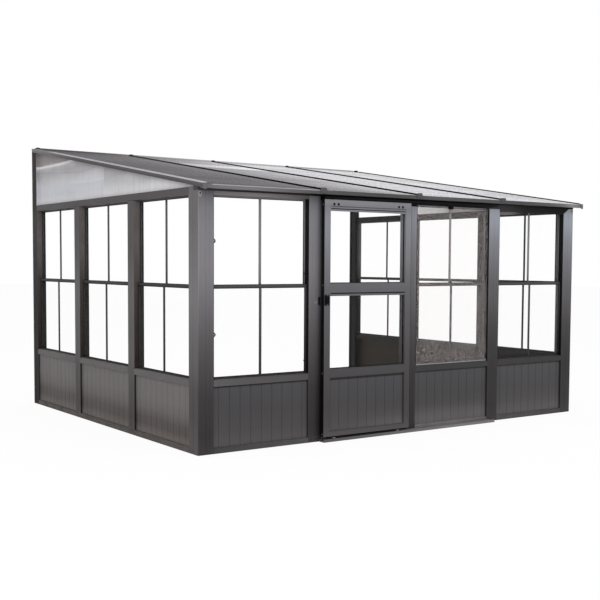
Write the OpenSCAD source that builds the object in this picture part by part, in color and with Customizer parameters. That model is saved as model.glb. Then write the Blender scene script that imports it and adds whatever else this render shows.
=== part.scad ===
// Lean-to greenhouse: aluminium posts and rails, film windows, a sliding door
// and a sheeted roof on glazing bars. The front faces -Y, the house side is +Y.

/* [Overall] */
// Width over the corner posts
wall_w = 4270; // [3400:10:5200]
// Depth from the front wall face to the house wall
wall_d = 3510; // [2800:10:4400]
// Height of the roof surface at its front edge
eave_h = 2074; // [1700:1:2500]
// Rise of the roof surface from its front edge to the house wall
roof_rise = 574; // [350:1:900]
// Roof overhang in front of the front wall
front_overhang = 100; // [80:1:180]
// Roof overhang past each side wall
side_overhang = 12; // [6:1:40]

/* [Frame] */
// Thickness of the front wall
front_t = 70; // [63:1:85]
// Thickness of the side walls
side_t = 70; // [63:1:85]
// Face width of a corner post seen from the front
corner_face = 138; // [110:1:170]
// Face width of a front post between two bays
post_face = 136; // [110:1:170]
// Face width of a corner post seen from the side
side_corner_face = 147; // [120:1:180]
// Face width of a side post between two bays
side_post_face = 120; // [90:1:150]
// Depth of a side post and of a rear post
side_post_d = 95; // [80:1:115]
// Face width of a rear post
rear_face = 119; // [90:1:150]
// Rounding of the posts' outer edges
edge_r = 3; // [1:0.5:6]
// Depth of the grooves along the posts
flute_d = 1.6; // [0.8:0.1:2.5]
// Height of the base rails
base_h = 45; // [35:1:60]
// Height of the kick panels' top
kick_top = 524; // [420:1:640]
// Height of the sill rails
sill_h = 54; // [40:1:70]
// Bevel on the sill's outer edge
sill_bevel = 9; // [4:1:14]
// Height of the front top rails
top_rail_h = 27; // [20:1:45]
// Height of the side top rails
side_rail_h = 58; // [40:1:60]
// Thickness of the eave beam under the glazing bars
beam_sole = 11; // [8:0.5:20]

/* [Windows] */
// Thickness of one sash
sash_t = 18; // [14:1:20]
// Gap between the two sashes
sash_gap = 5; // [1:0.5:6]
// Width of the sash stiles
sash_s = 14; // [10:1:22]
// Height of the meeting rails
meet_h = 24; // [18:1:34]
// Middle of the meeting rails
meet_z = 1296; // [1150:1:1450]
// Lower sashes behind the wall face
sash_in = 29; // [20:1:32]
// Thickness of a film pane
film_t = 2; // [1.5:0.5:4]
// Width of the bead that holds a pane
bead_w = 5; // [3:0.5:8]
// Thickness of the insect screen
screen_t = 1.5; // [1:0.5:3]
// Insect screen behind the wall face
screen_in = 14; // [10:0.5:16]

/* [Kick panels] */
// Thickness of the boarded panels
kick_t = 12; // [9:1:18]
// Panels behind the wall face
kick_in = 16; // [8:1:22]
// Pitch of the board grooves
groove_pitch = 99.3; // [70:0.1:140]
// Depth of a board groove
groove_d = 4; // [2:0.5:5]

/* [Roof] */
// Thickness of the roof and gable sheets
sheet_t = 10; // [8:1:16]
// Gasket between a sheet and its bar or cap
gasket = 0.3; // [0.3:0.1:1]
// Height of the glazing bars below the sheets
bar_h = 38; // [30:1:60]
// Height of the side bars below the sheets
side_bar_h = 20; // [16:1:34]
// Width of a glazing bar over its flanges
bar_w = 44; // [36:1:60]
// Thickness of the webs and flanges of a glazing bar
bar_web = 6; // [4:0.5:8]
// Width of a glazing bar cap
cap_w = 56; // [46:1:70]
// Height of a glazing bar cap
cap_h = 12; // [8:1:18]
// Width of the side bars' bearing on the side walls
side_bearing = 40; // [30:1:55]
// Thickness of the side bars' outer lip
lip_t = 8; // [5:0.5:12]
// Depth of the groove that the gable sheets stand in
gable_groove = 6; // [4:0.5:10]
// Thickness of the eave fascia
fascia_t = 4; // [3:0.5:8]
// Fascia's upper edge below the roof surface at the eave
fascia_top = 2; // [0:1:6]
// Fascia's lower edge below the roof surface at the eave
fascia_drop = 33; // [28:1:44]
// Depth of the fascia's lower flange
fascia_flange = 40; // [25:1:50]
// Thickness of the bar end caps
end_t = 8; // [5:1:12]
// Width of a glazing bar's end cap
end_w = 60; // [48:1:80]
// Width of a side bar's end cap
side_end_w = 26; // [18:1:40]
// Height of the end caps above the roof surface at the eave
end_rise = 18; // [13:1:30]
// Width of the flashing along the house wall
flash_w = 60; // [45:1:100]
// Height of the flashing above the roof surface
flash_h = 14; // [10:1:24]
// Depth of the wall channels behind the rear posts
channel_d = 28; // [20:1:40]
// Heads of the wall channels above the roof surface
channel_rise = 5; // [0:1:20]
// Height of the ledger on the house wall below the bars
ledger_h = 90; // [70:1:140]
// Thickness of the ledger
ledger_t = 70; // [50:1:100]

/* [Door] */
// Overlap of the door leaf over each side of its opening
door_lap = 20; // [12:1:30]
// Overlap of the door leaf over the top rail
door_head_lap = 2; // [0:1:8]
// Thickness of the door leaf
door_t = 40; // [32:1:50]
// Running gap between the door leaf and the wall face
door_gap = 15; // [12:1:20]
// Underside of the door leaf
door_z0 = 42; // [38:1:60]
// Width of the door stiles
door_stile = 67; // [50:1:90]
// Height of the door top rail
door_top_rail = 84; // [60:1:110]
// Top of the door mid rail
door_mid_top = 1318; // [1150:1:1450]
// Height of the door mid rail
door_mid_rail = 101; // [70:1:130]
// Height of the door sill rail
door_sill_rail = 78; // [60:1:100]
// Height of the door bottom rail
door_bottom_rail = 45; // [35:1:70]
// Thickness of the door glass
glass_t = 4; // [3:0.5:6]
// Thickness of the door tracks
track_t = 4; // [3:0.5:6]
// Thickness of the bottom track's floor
track_floor = 6; // [4:0.5:8]
// Height of the bottom track's front lip
track_lip = 24; // [20:1:28]
// Height of the top track
track_h = 17.5; // [16:0.5:20]
// Room from the door leaf to the front lip of its tracks
track_room = 9; // [7:1:14]
// Thickness of the header plate
header_t = 6; // [4:0.5:8]
// Header plate below the top rails
header_drop = 7; // [3:1:20]
// Further drop of the header plate over the last bay
header_step = 24; // [0:1:30]
// Mitred end of the header plate past the last bay
header_end = 78; // [40:1:100]
// Radius of the door rollers
roller_r = 15; // [12:1:18]
// Free gap between a moving piece and its track
run_gap = 5.5; // [5:0.5:7]
// Rollers and guides from the door leaf's edges
roller_inset = 120; // [80:1:160]
// Height of the door latch's middle
latch_z = 1178; // [1100:1:1260]

/* [Fastenings] */
// Radius of the anchor and wall bolt holes
anchor_r = 5; // [4:0.5:8]
// Height of the lower wall bolts
anchor_low = 400; // [250:10:700]
// Height of the upper wall bolts
anchor_high = 1900; // [1300:10:2000]

/* [Hidden] */
$fn = 24;
bay = (wall_w - 2 * corner_face - 3 * post_face) / 4;
bay_x = [for (i = [0:3]) corner_face + i * (bay + post_face)];
post_x = [for (i = [0:2]) corner_face + (i + 1) * bay + i * post_face];
post_mid = [for (x = post_x) x + post_face / 2];
seam = [wall_d / 3, 2 * wall_d / 3];
side_y0 = [side_corner_face, seam[0] + side_post_face / 2, seam[1] + side_post_face / 2];
side_y1 = [seam[0] - side_post_face / 2, seam[1] - side_post_face / 2, wall_d - rear_face];
slope = roof_rise / (wall_d + front_overhang);
ct = 1 / sqrt(1 + slope * slope);
pitch = atan(slope);
y_front = -(front_overhang + fascia_t + end_t);
plate_h = round(bar_under(0) - beam_sole);
head_h = plate_h - top_rail_h;
side_plate_h = head_h + side_rail_h;
sill_top = kick_top + sill_h;
fascia_z = eave_h - fascia_drop;
door_x = bay_x[1] - door_lap;
door_w = bay + 2 * door_lap;
door_z1 = head_h + door_head_lap;
door_face = -(door_gap + door_t);
door_yc = -(door_gap + door_t / 2);
door_kick_top = kick_top + 6;
door_sill_top = door_kick_top + door_sill_rail;
door_mid_z = door_mid_top - door_mid_rail;
track_y = door_face - track_room - track_t;
track_top = door_z1 + run_gap + track_h;
track_x0 = door_x - 5;
track_x1 = post_x[2] + post_face / 4;
roller_z = track_floor + run_gap + roller_r;
ledger_z = bar_under(wall_d) - ledger_h;
flash_y = wall_d - flash_w;
channel_y = wall_d - channel_d;

// height of the roof surface at depth y
function roof_z(y) = eave_h + slope * (y + front_overhang);

// height of the glazing bars' underside at depth y
function bar_under(y) = roof_z(y) - (sheet_t + gasket + bar_h) / ct;

// height of the side bars' underside at depth y
function side_under(y) = roof_z(y) - (sheet_t + gasket + side_bar_h) / ct;

// puts the origin at the middle of the whole, on the ground
module place()
  translate([-wall_w / 2, -(wall_d + y_front) / 2, 0])
    children();

// mirrors a left wall piece to the right wall
module right_side()
  translate([wall_w, 0, 0])
    mirror([1, 0, 0])
      children();

module box(x0, x1, y0, y1, z0, z1)
  translate([x0, y0, z0])
    cube([x1 - x0, y1 - y0, z1 - z0]);

// section drawn in depth and height, run along the width
module along_x(x0, x1)
  translate([x0, 0, 0])
    rotate([90, 0, 90])
      linear_extrude(height = x1 - x0)
        children();

// section drawn in width and height, run along the depth
module along_y(y0, y1)
  translate([0, y1, 0])
    rotate([90, 0, 0])
      linear_extrude(height = y1 - y0)
        children();

// strip lying n0 to n1 above the roof surface, with upright ends
module slab(x0, x1, y0, y1, n0, n1)
  along_x(x0, x1)
    polygon([
      [y0, roof_z(y0) + n0 / ct],
      [y1, roof_z(y1) + n0 / ct],
      [y1, roof_z(y1) + n1 / ct],
      [y0, roof_z(y0) + n1 / ct]
    ]);

module rounded(w, d, r = edge_r) {
  translate([r, 0])
    square([w - 2 * r, d]);
  translate([0, r])
    square([w, d - 2 * r]);
  for (x = [r, w - r], y = [r, d - r])
    translate([x, y])
      circle(r);
}

// V cut across a face at x, y
module vee(x, y, d)
  translate([x, y])
    rotate(45)
      square(d * sqrt(2), center = true);

module base_section(t)
  polygon([[0, 0], [t, 0], [t, base_h], [4, base_h], [0, base_h - 4]]);

module front_base_rail() {
  color("#454546")
    place()
      for (i = [0:3])
        difference() {
          along_x(bay_x[i], bay_x[i] + bay)
            base_section(front_t);
          translate([bay_x[i] + bay / 2, front_t / 2, -1])
            cylinder(r = anchor_r, h = base_h + 2);
        }
}

module side_base()
  for (i = [0:2])
    difference() {
      along_y(side_y0[i], side_y1[i])
        base_section(side_t);
      translate([side_t / 2, wall_d * (2 * i + 1) / 6, -1])
        cylinder(r = anchor_r, h = base_h + 2);
    }

module left_base_rail() {
  color("#454546")
    place()
      side_base();
}

module right_base_rail() {
  color("#454546")
    place()
      right_side()
        side_base();
}

module corner_section()
  difference() {
    union() {
      rounded(corner_face, front_t);
      rounded(side_t, side_corner_face);
    }
    vee(side_t, 0, flute_d * 1.5);
    vee(corner_face * 0.75, 0, flute_d);
    vee(0, front_t + 10, flute_d * 1.5);
  }

// post up to the eave beam, its side leg running on up to the gable sheet
module corner_post() {
  linear_extrude(height = plate_h)
    corner_section();
  linear_extrude(height = side_plate_h)
    intersection() {
      corner_section();
      translate([-1, front_t + gasket])
        square([side_t + 2, side_corner_face]);
    }
}

module corner_posts() {
  color("#5a5756")
    place() {
      corner_post();
      right_side()
        corner_post();
    }
}

// two panel stiles side by side, with the seam between them
module front_post_section()
  difference() {
    rounded(post_face, front_t);
    vee(post_face / 2, 0, flute_d * 1.5);
    for (x = [post_face * 0.25, post_face * 0.75])
      vee(x, 0, flute_d);
    for (x = [0, post_face])
      vee(x, front_t * 0.55, flute_d);
  }

module front_posts() {
  color("#5a5756")
    place()
      for (x = post_x)
        translate([x, 0, 0])
          linear_extrude(height = plate_h)
            front_post_section();
}

module side_post_section()
  difference() {
    rounded(side_post_d, side_post_face);
    vee(0, side_post_face / 2, flute_d * 1.5);
    vee(side_post_d, side_post_face / 2, flute_d);
  }

module side_posts()
  for (y = seam)
    translate([0, y - side_post_face / 2, 0])
      linear_extrude(height = head_h)
        side_post_section();

module left_side_posts() {
  color("#5a5756")
    place()
      side_posts();
}

module right_side_posts() {
  color("#5a5756")
    place()
      right_side()
        side_posts();
}

// last stile of a side wall, cut to the slope of the side bar
module rear_stile()
  difference() {
    translate([0, wall_d - rear_face, 0])
      linear_extrude(height = side_under(wall_d))
        difference() {
          rounded(side_post_d, rear_face);
          vee(0, rear_face * 0.5, flute_d * 1.5);
          translate([side_post_d - 12, rear_face * 0.55])
            square([13, rear_face * 0.2]);
        }
    along_x(-1, side_post_d + 1)
      polygon([
        [wall_d - rear_face - 1, side_under(wall_d - rear_face - 1) - gasket],
        [wall_d + 1, side_under(wall_d + 1) - gasket],
        [wall_d + 1, side_under(wall_d) + 100],
        [wall_d - rear_face - 1, side_under(wall_d) + 100]
      ]);
  }

// wall channel behind the stile, with a round head above the roof
module wall_channel() {
  head = roof_z(wall_d) + channel_rise - side_t / 2;
  translate([0, wall_d, 0])
    rotate([90, 0, 0])
      linear_extrude(height = channel_d)
        union() {
          square([side_t, head]);
          translate([side_t / 2, head])
            circle(side_t / 2, $fn = 64);
        }
}

module rear_post()
  difference() {
    union() {
      rear_stile();
      wall_channel();
    }
    for (z = [anchor_low, anchor_high])
      translate([side_t / 2, wall_d + 1, z])
        rotate([90, 0, 0])
          cylinder(r = anchor_r, h = rear_face + 2);
  }

module rear_posts() {
  color("#4c4a49")
    place() {
      rear_post();
      right_side()
        rear_post();
    }
}

// sill with its outer edge bevelled to shed water
module sill_section(t)
  translate([0, kick_top])
    polygon([
      [0, 0],
      [t, 0],
      [t, sill_h],
      [sill_bevel, sill_h],
      [0, sill_h - sill_bevel]
    ]);

module front_sill_rails() {
  color("#525152")
    place()
      for (i = [0, 2, 3])
        along_x(bay_x[i], bay_x[i] + bay)
          sill_section(front_t);
}

module side_sills()
  for (i = [0:2])
    along_y(side_y0[i], side_y1[i])
      sill_section(side_t);

module left_sill_rails() {
  color("#5d5a59")
    place()
      side_sills();
}

module right_sill_rails() {
  color("#5d5a59")
    place()
      right_side()
        side_sills();
}

module front_top_rails() {
  color("#5a5554")
    place()
      for (x = bay_x)
        along_x(x, x + bay)
          translate([0, head_h])
            polygon([[0, 3], [3, 0], [front_t, 0], [front_t, top_rail_h], [0, top_rail_h]]);
}

// section with the groove that the gable sheet stands in
module side_top_section() {
  h = side_plate_h - head_h;
  translate([0, head_h])
    difference() {
      polygon([[0, 3], [3, 0], [side_t, 0], [side_t, h], [3, h], [0, h - 3]]);
      translate([side_t / 2 - sheet_t / 2 - gasket, h - gable_groove])
        square([sheet_t + 2 * gasket, gable_groove + 1]);
    }
}

// one rail for each side panel, from seam to seam
module side_tops() {
  y = [side_corner_face, seam[0], seam[1], wall_d - rear_face];
  for (i = [0:2])
    along_y(y[i] + (i > 0 ? 0.5 : 0), y[i + 1] - (i < 2 ? 0.5 : 0))
      side_top_section();
}

module left_top_rails() {
  color("#5d5a59")
    place()
      side_tops();
}

module right_top_rails() {
  color("#5d5a59")
    place()
      right_side()
        side_tops();
}

// section of a boarded panel w wide, its grooves spread evenly from the middle
module board_section(w) {
  n = floor((w / 2 - 20) / groove_pitch);
  difference() {
    square([w, kick_t]);
    for (k = [-n:n])
      vee(w / 2 + k * groove_pitch, 0, groove_d);
  }
}

module boards(w, h)
  linear_extrude(height = h)
    board_section(w);

module front_kick_panels() {
  color("#4e4e50")
    place()
      for (i = [0, 2, 3])
        translate([bay_x[i], kick_in, base_h])
          boards(bay, kick_top - base_h);
}

// puts a piece drawn as on the front into window i of a side wall
module side_bay(i)
  translate([0, side_y1[i], 0])
    rotate([0, 0, -90])
      children();

module side_kicks()
  for (i = [0:2])
    side_bay(i)
      translate([0, kick_in, base_h])
        boards(side_y1[i] - side_y0[i], kick_top - base_h);

module left_kick_panels() {
  color("#6b6764")
    place()
      side_kicks();
}

module right_kick_panels() {
  color("#6b6764")
    place()
      right_side()
        side_kicks();
}

// sash with a bead step round its pane, between heights z0 and z1
module sash(w, z0, z1, low, high)
  difference() {
    box(0, w, 0, sash_t, z0, z1);
    box(sash_s, w - sash_s, -1, sash_t + 1, z0 + low, z1 - high);
    box(sash_s - bead_w, w - sash_s + bead_w, -1, sash_t / 2 - film_t / 2 - 2,
      z0 + low - bead_w, z1 - high + bead_w);
  }

module pair_sashes(w, inset) {
  translate([0, inset, 0])
    sash(w, sill_top, meet_z + meet_h / 2, sash_s, meet_h);
  translate([0, inset + sash_t + sash_gap, 0])
    sash(w, meet_z - meet_h / 2, head_h, meet_h, sash_s);
}

module pair_panes(w, inset) {
  y = inset + (sash_t - film_t) / 2;
  box(sash_s, w - sash_s, y, y + film_t, sill_top + sash_s, meet_z - meet_h / 2);
  translate([0, sash_t + sash_gap, 0])
    box(sash_s, w - sash_s, y, y + film_t, meet_z + meet_h / 2, head_h - sash_s);
}

module front_window_sashes() {
  color("#3c3a3a")
    place()
      for (i = [0, 2, 3])
        translate([bay_x[i], 0, 0])
          pair_sashes(bay, sash_in);
}

module front_window_panes() {
  color("#dfe4e8", 0.3)
    place()
      for (i = [0, 2, 3])
        translate([bay_x[i], 0, 0])
          pair_panes(bay, sash_in);
}

module side_sashes()
  for (i = [0:2])
    side_bay(i)
      pair_sashes(side_y1[i] - side_y0[i], sash_in);

module side_panes()
  for (i = [0:2])
    side_bay(i)
      pair_panes(side_y1[i] - side_y0[i], sash_in);

module left_window_sashes() {
  color("#3c3a3a")
    place()
      side_sashes();
}

module left_window_panes() {
  color("#dfe4e8", 0.3)
    place()
      side_panes();
}

module right_window_sashes() {
  color("#3c3a3a")
    place()
      right_side()
        side_sashes();
}

module right_window_panes() {
  color("#dfe4e8", 0.3)
    place()
      right_side()
        side_panes();
}

module insect_screen() {
  color("#4a4a4a", 0.6)
    place()
      box(bay_x[2], bay_x[2] + bay, screen_in, screen_in + screen_t, sill_top, head_h);
}

// triangular sheet from the corner post and the side top rails up to the side bar
module gable() {
  foot = side_plate_h - gable_groove;
  y0 = front_t + gasket;
  y1 = wall_d - rear_face;
  along_x(side_t / 2 - sheet_t / 2, side_t / 2 + sheet_t / 2)
    polygon([
      [y0, side_plate_h],
      [side_corner_face, side_plate_h],
      [side_corner_face, foot],
      [y1, foot],
      [y1, side_under(y1) - gasket],
      [y0, side_under(y0) - gasket]
    ]);
}

module left_gable_sheet() {
  color("#b9bac0", 0.7)
    place()
      gable();
}

module right_gable_sheet() {
  color("#b9bac0", 0.7)
    place()
      right_side()
        gable();
}

// beds for the glazing bars and the side bars, cut into what carries them
module bar_beds(y0, y1) {
  n = -(sheet_t + gasket);
  for (c = post_mid)
    slab(c - bar_w / 2, c + bar_w / 2, y0 - 1, y1 + 1, n - bar_h, 60);
  for (x = [-side_overhang, wall_w - side_bearing])
    slab(x, x + side_overhang + side_bearing, y0 - 1, y1 + 1, n - side_bar_h, 60);
}

// section from height z up to the underside of the roof sheets
module under_sheets(y0, y1, z)
  polygon([
    [y0, z],
    [y1, z],
    [y1, roof_z(y1) - (sheet_t + gasket) / ct],
    [y0, roof_z(y0) - (sheet_t + gasket) / ct]
  ]);

module eave_beam() {
  color("#3b3838")
    place()
      difference() {
        along_x(0, wall_w)
          under_sheets(0, front_t, plate_h);
        bar_beds(0, front_t);
      }
}

module house_ledger() {
  color("#3b3838")
    place()
      difference() {
        along_x(side_post_d, wall_w - side_post_d)
          under_sheets(wall_d - ledger_t, wall_d, ledger_z);
        bar_beds(wall_d - ledger_t, wall_d);
        for (f = [-3, -1, 1, 3])
          translate([wall_w / 2 + f * (bay + post_face) / 2, wall_d + 1, ledger_z + ledger_h / 2])
            rotate([90, 0, 0])
              cylinder(r = anchor_r, h = ledger_t + 2);
      }
}

// face with a rounded nose at the foot and a flange below the sheets
module eave_fascia() {
  r = 5;
  color("#6a696a")
    place()
      along_x(-side_overhang, wall_w + side_overhang)
        translate([-front_overhang, fascia_z])
          union() {
            translate([-fascia_t, r])
              square([fascia_t, fascia_drop - fascia_top - r]);
            translate([r - fascia_t, 0])
              square([fascia_flange - r + fascia_t, fascia_t]);
            difference() {
              translate([r - fascia_t, r])
                circle(r);
              translate([0, fascia_t])
                square([2 * r, 2 * r]);
            }
          }
}

// clears the bars' front ends for the fascia's lower flange
module fascia_notch()
  box(-side_overhang - 1, wall_w + side_overhang + 1, -front_overhang - 1,
    -front_overhang + fascia_flange + gasket, fascia_z - 60, fascia_z + fascia_t + gasket);

// flanged bar that carries the sheets' outer edge, with a lip over it
module side_bar() {
  x = -side_overhang;
  y = channel_y - gasket;
  n = -sheet_t - gasket;
  difference() {
    union() {
      slab(x, side_bearing, -front_overhang, y, n - side_bar_h, n - side_bar_h + bar_web);
      slab(x, side_bearing, -front_overhang, y, n - 4, n);
      slab(x + 4, x + lip_t + 4, -front_overhang, y, n - side_bar_h + 1, n - 1);
      slab(side_bearing - bar_web, side_bearing, -front_overhang, y, n - side_bar_h + 1, n - 1);
    }
    fascia_notch();
  }
  slab(x, x + lip_t, -front_overhang, y, n - 2, 4);
  slab(x, x + 3.5 * lip_t, -front_overhang, y, gasket, 4);
}

module side_roof_bars() {
  color("#5a5858")
    place() {
      side_bar();
      right_side()
        side_bar();
    }
}

// glazing bar: foot, web, two sheet flanges and the stem between the sheets
module roof_bars() {
  n = -sheet_t - gasket;
  color("#2f2d2d")
    place()
      for (c = post_mid) {
        difference() {
          union() {
            slab(c - bar_w * 0.3, c + bar_w * 0.3, -front_overhang, wall_d, n - bar_h, n - bar_h + bar_web);
            slab(c - bar_web, c + bar_web, -front_overhang, wall_d, n - bar_h + 1, n - 1);
            slab(c - bar_w / 2, c + bar_w / 2, -front_overhang, wall_d, n - 6, n);
          }
          fascia_notch();
        }
        slab(c - bar_web / 2, c + bar_web / 2, -front_overhang, wall_d, n - 2, 0);
      }
}

// crowned cap section: a flat foot and a low arched top
module cap_section() {
  rise = cap_h - 4;
  r = (cap_w * cap_w / 4 + rise * rise) / (2 * rise);
  translate([-cap_w / 2, gasket])
    square([cap_w, 4]);
  intersection() {
    translate([0, cap_h - r])
      circle(r, $fn = 240);
    translate([-cap_w / 2, 4])
      square([cap_w, cap_h]);
  }
}

module roof_bar_caps() {
  color("#2c2a2a")
    place()
      for (c = post_mid)
        intersection() {
          translate([c, -front_overhang - 50, roof_z(-front_overhang - 50)])
            rotate([90 + pitch, 0, 0])
              translate([0, 0, -(wall_d + front_overhang + 100) / ct])
                linear_extrude(height = (wall_d + front_overhang + 100) / ct)
                  cap_section();
          box(c - cap_w, c + cap_w, -front_overhang, flash_y - gasket,
            eave_h - 100, eave_h + roof_rise + 100);
        }
}

// plate w wide with sloping shoulders that closes the front end of a bar
module end_cap(x, w, z0, z1, shoulder)
  translate([x, y_front + end_t, z0])
    rotate([90, 0, 0])
      linear_extrude(height = end_t)
        polygon([
          [0, 0],
          [w, 0],
          [w, z1 - z0 - shoulder],
          [w - shoulder / 2, z1 - z0],
          [shoulder / 2, z1 - z0],
          [0, z1 - z0 - shoulder]
        ]);

module roof_end_caps() {
  color("#646364")
    place() {
      for (c = post_mid)
        end_cap(c - end_w / 2, end_w, fascia_z + 10, eave_h + end_rise, 14);
      for (x = [-side_overhang, wall_w + side_overhang - side_end_w])
        end_cap(x, side_end_w, fascia_z - 10, eave_h + 4, 3);
    }
}

module roof_sheets() {
  side = -side_overhang + lip_t + 1;
  stem = bar_web / 2 + 1;
  x0 = [side, for (c = post_mid) c + stem];
  x1 = [for (c = post_mid) c - stem, wall_w - side];
  color("#cfd1d4", 0.6)
    place()
      difference() {
        for (i = [0:3])
          slab(x0[i], x1[i], -front_overhang + 1, wall_d - 2, -sheet_t, 0);
        // corners cut out round the heads of the wall channels
        for (x = [-side_overhang, wall_w - side_t - gasket])
          box(x, x + side_overhang + side_t + gasket, channel_y - gasket, wall_d,
            eave_h, eave_h + roof_rise + 10);
      }
}

// strip over the sheets' upper edge, between the heads of the wall channels
module wall_flashing() {
  color("#2c2a2a")
    place()
      along_x(side_t + gasket, wall_w - side_t - gasket)
        polygon([
          [flash_y, roof_z(flash_y) + gasket],
          [wall_d, roof_z(wall_d) + gasket],
          [wall_d, roof_z(wall_d) + flash_h],
          [flash_y + 12, roof_z(flash_y + 12) + flash_h],
          [flash_y, roof_z(flash_y) + 4]
        ]);
}

// face plate over the door and the bays it slides past, mitred at its right end
module header_plate() {
  x0 = bay_x[1] - door_lap;
  x1 = bay_x[3] + bay;
  z0 = head_h - header_drop;
  z1 = floor(bar_under(-header_t) - gasket);
  color("#2b2626")
    place()
      rotate([90, 0, 0])
        linear_extrude(height = header_t)
          polygon([
            [x0, z0],
            [bay_x[3], z0],
            [bay_x[3], z0 - header_step],
            [x1 + header_end - (z1 - z0 + header_step) * 1.5, z0 - header_step],
            [x1 + header_end, z1],
            [x0, z1]
          ]);
}

// channel open downwards over the door's top edge
module door_top_track() {
  z0 = door_z1 + run_gap;
  z1 = track_top;
  back = -header_t;
  color("#2b2828")
    place()
      along_x(track_x0, track_x1)
        polygon([
          [back, z1],
          [track_y, z1],
          [track_y, z0],
          [track_y + track_t, z0],
          [track_y + track_t, z1 - track_t],
          [back - track_t, z1 - track_t],
          [back - track_t, z0],
          [back, z0]
        ]);
}

// low threshold channel with a sloping front lip
module door_bottom_track() {
  color("#3a3838")
    place()
      along_x(track_x0, track_x1)
        polygon([
          [0, 0],
          [track_y - 6, 0],
          [track_y - 6, 3],
          [track_y, track_lip],
          [track_y + track_t, track_lip],
          [track_y + track_t, track_floor],
          [-track_t, track_floor],
          [-track_t, track_lip - 4],
          [0, track_lip - 4]
        ]);
}

// strike plate on the post, slotted for the latch's hook
module door_keeper() {
  x = door_x - 22;
  z = latch_z - 42;
  color("#1f1e1e")
    place()
      difference() {
        translate([x, 0, z])
          rotate([90, 0, 0])
            linear_extrude(height = 7)
              rounded(20, 66, 6);
        box(x + 13, x + 21, -8, -2, z + 18, z + 48);
      }
}

// opening with a bead step round it on the outer face
module door_light(x0, x1, z0, z1) {
  box(x0, x1, door_face - 1, -door_gap + 1, z0, z1);
  box(x0 - bead_w, x1 + bead_w, door_face - 1, door_face + 6, z0 - bead_w, z1 + bead_w);
}

module door_frame() {
  x0 = door_x + door_stile;
  x1 = door_x + door_w - door_stile;
  z_top = door_z1 - door_top_rail;
  color("#5b5a5b")
    place()
      difference() {
        translate([door_x, door_face, door_z0])
          linear_extrude(height = door_z1 - door_z0)
            rounded(door_w, door_t);
        door_light(x0, x1, door_mid_top, z_top);
        door_light(x0, x1, door_sill_top, door_mid_z);
        door_light(x0, x1, door_z0 + door_bottom_rail, door_kick_top);
        // drip grooves along the top and mid rails
        for (z = [z_top + 24, door_mid_z + 19])
          along_x(x0 - bead_w, x1 + bead_w)
            vee(door_face, z, 3);
        // paired access holes for the roller screws in the top rail
        for (x = [door_x + roller_inset, door_x + door_w - roller_inset], s = [-22, 22])
          translate([x + s, door_face - 1, door_z1 - 38])
            rotate([-90, 0, 0])
              cylinder(r = 4, h = 13);
      }
}

module door_glass() {
  y0 = door_yc - glass_t / 2;
  x0 = door_x + door_stile;
  x1 = door_x + door_w - door_stile;
  color("#dfe4e8", 0.3)
    place() {
      box(x0, x1, y0, y0 + glass_t, door_mid_top, door_z1 - door_top_rail);
      box(x0, x1, y0, y0 + glass_t, door_sill_top, door_mid_z);
    }
}

module door_kick_panel() {
  z0 = door_z0 + door_bottom_rail;
  color("#4e4e50")
    place()
      translate([door_x + door_stile, door_yc - kick_t / 2, z0])
        boards(door_w - 2 * door_stile, door_kick_top - z0);
}

// backplate with a raised grip, hollowed for the fingers
module door_handle() {
  x = door_x + 4;
  color("#1f1e1e")
    place()
      difference() {
        union() {
          translate([x, door_face, latch_z - 45])
            rotate([90, 0, 0])
              linear_extrude(height = 4)
                rounded(44, 90, 8);
          translate([x + 8, door_face - 3, latch_z - 34])
            rotate([90, 0, 0])
              linear_extrude(height = 15)
                rounded(28, 68, 7);
        }
        translate([x + 15, door_face - 6, latch_z - 26])
          rotate([90, 0, 0])
            linear_extrude(height = 20)
              rounded(14, 52, 5);
      }
}

// one roller: two cheeks under the leaf, an axle and a grooved wheel
module roller(x) {
  for (s = [-1, 1])
    box(x - 12, x + 12, door_yc + s * 8 - 2, door_yc + s * 8 + 2, roller_z - 9, door_z0);
  translate([x, door_yc, roller_z])
    rotate([90, 0, 0])
      union() {
        cylinder(r = 4, h = 22, center = true);
        rotate_extrude()
          polygon([
            [0, -5],
            [roller_r, -5],
            [roller_r, -3],
            [roller_r - 3, 0],
            [roller_r, 3],
            [roller_r, 5],
            [0, 5]
          ]);
      }
}

module door_rollers() {
  color("#8a8a8a")
    place() {
      roller(door_x + roller_inset);
      roller(door_x + door_w - roller_inset);
    }
}

module door_guides() {
  top = track_top - track_t - run_gap;
  color("#8a8a8a")
    place()
      for (x = [door_x + roller_inset, door_x + door_w - roller_inset])
        translate([x - 20, door_yc - 6, door_z1])
          linear_extrude(height = top - door_z1)
            rounded(40, 12, 5);
}

front_base_rail();
left_base_rail();
right_base_rail();
corner_posts();
front_posts();
left_side_posts();
right_side_posts();
rear_posts();
front_sill_rails();
left_sill_rails();
right_sill_rails();
front_top_rails();
left_top_rails();
right_top_rails();
front_kick_panels();
left_kick_panels();
right_kick_panels();
front_window_sashes();
left_window_sashes();
right_window_sashes();
front_window_panes();
left_window_panes();
right_window_panes();
insect_screen();
left_gable_sheet();
right_gable_sheet();
eave_beam();
eave_fascia();
house_ledger();
side_roof_bars();
roof_bars();
roof_bar_caps();
roof_end_caps();
roof_sheets();
wall_flashing();
header_plate();
door_top_track();
door_bottom_track();
door_keeper();
door_frame();
door_glass();
door_kick_panel();
door_handle();
door_rollers();
door_guides();
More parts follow.
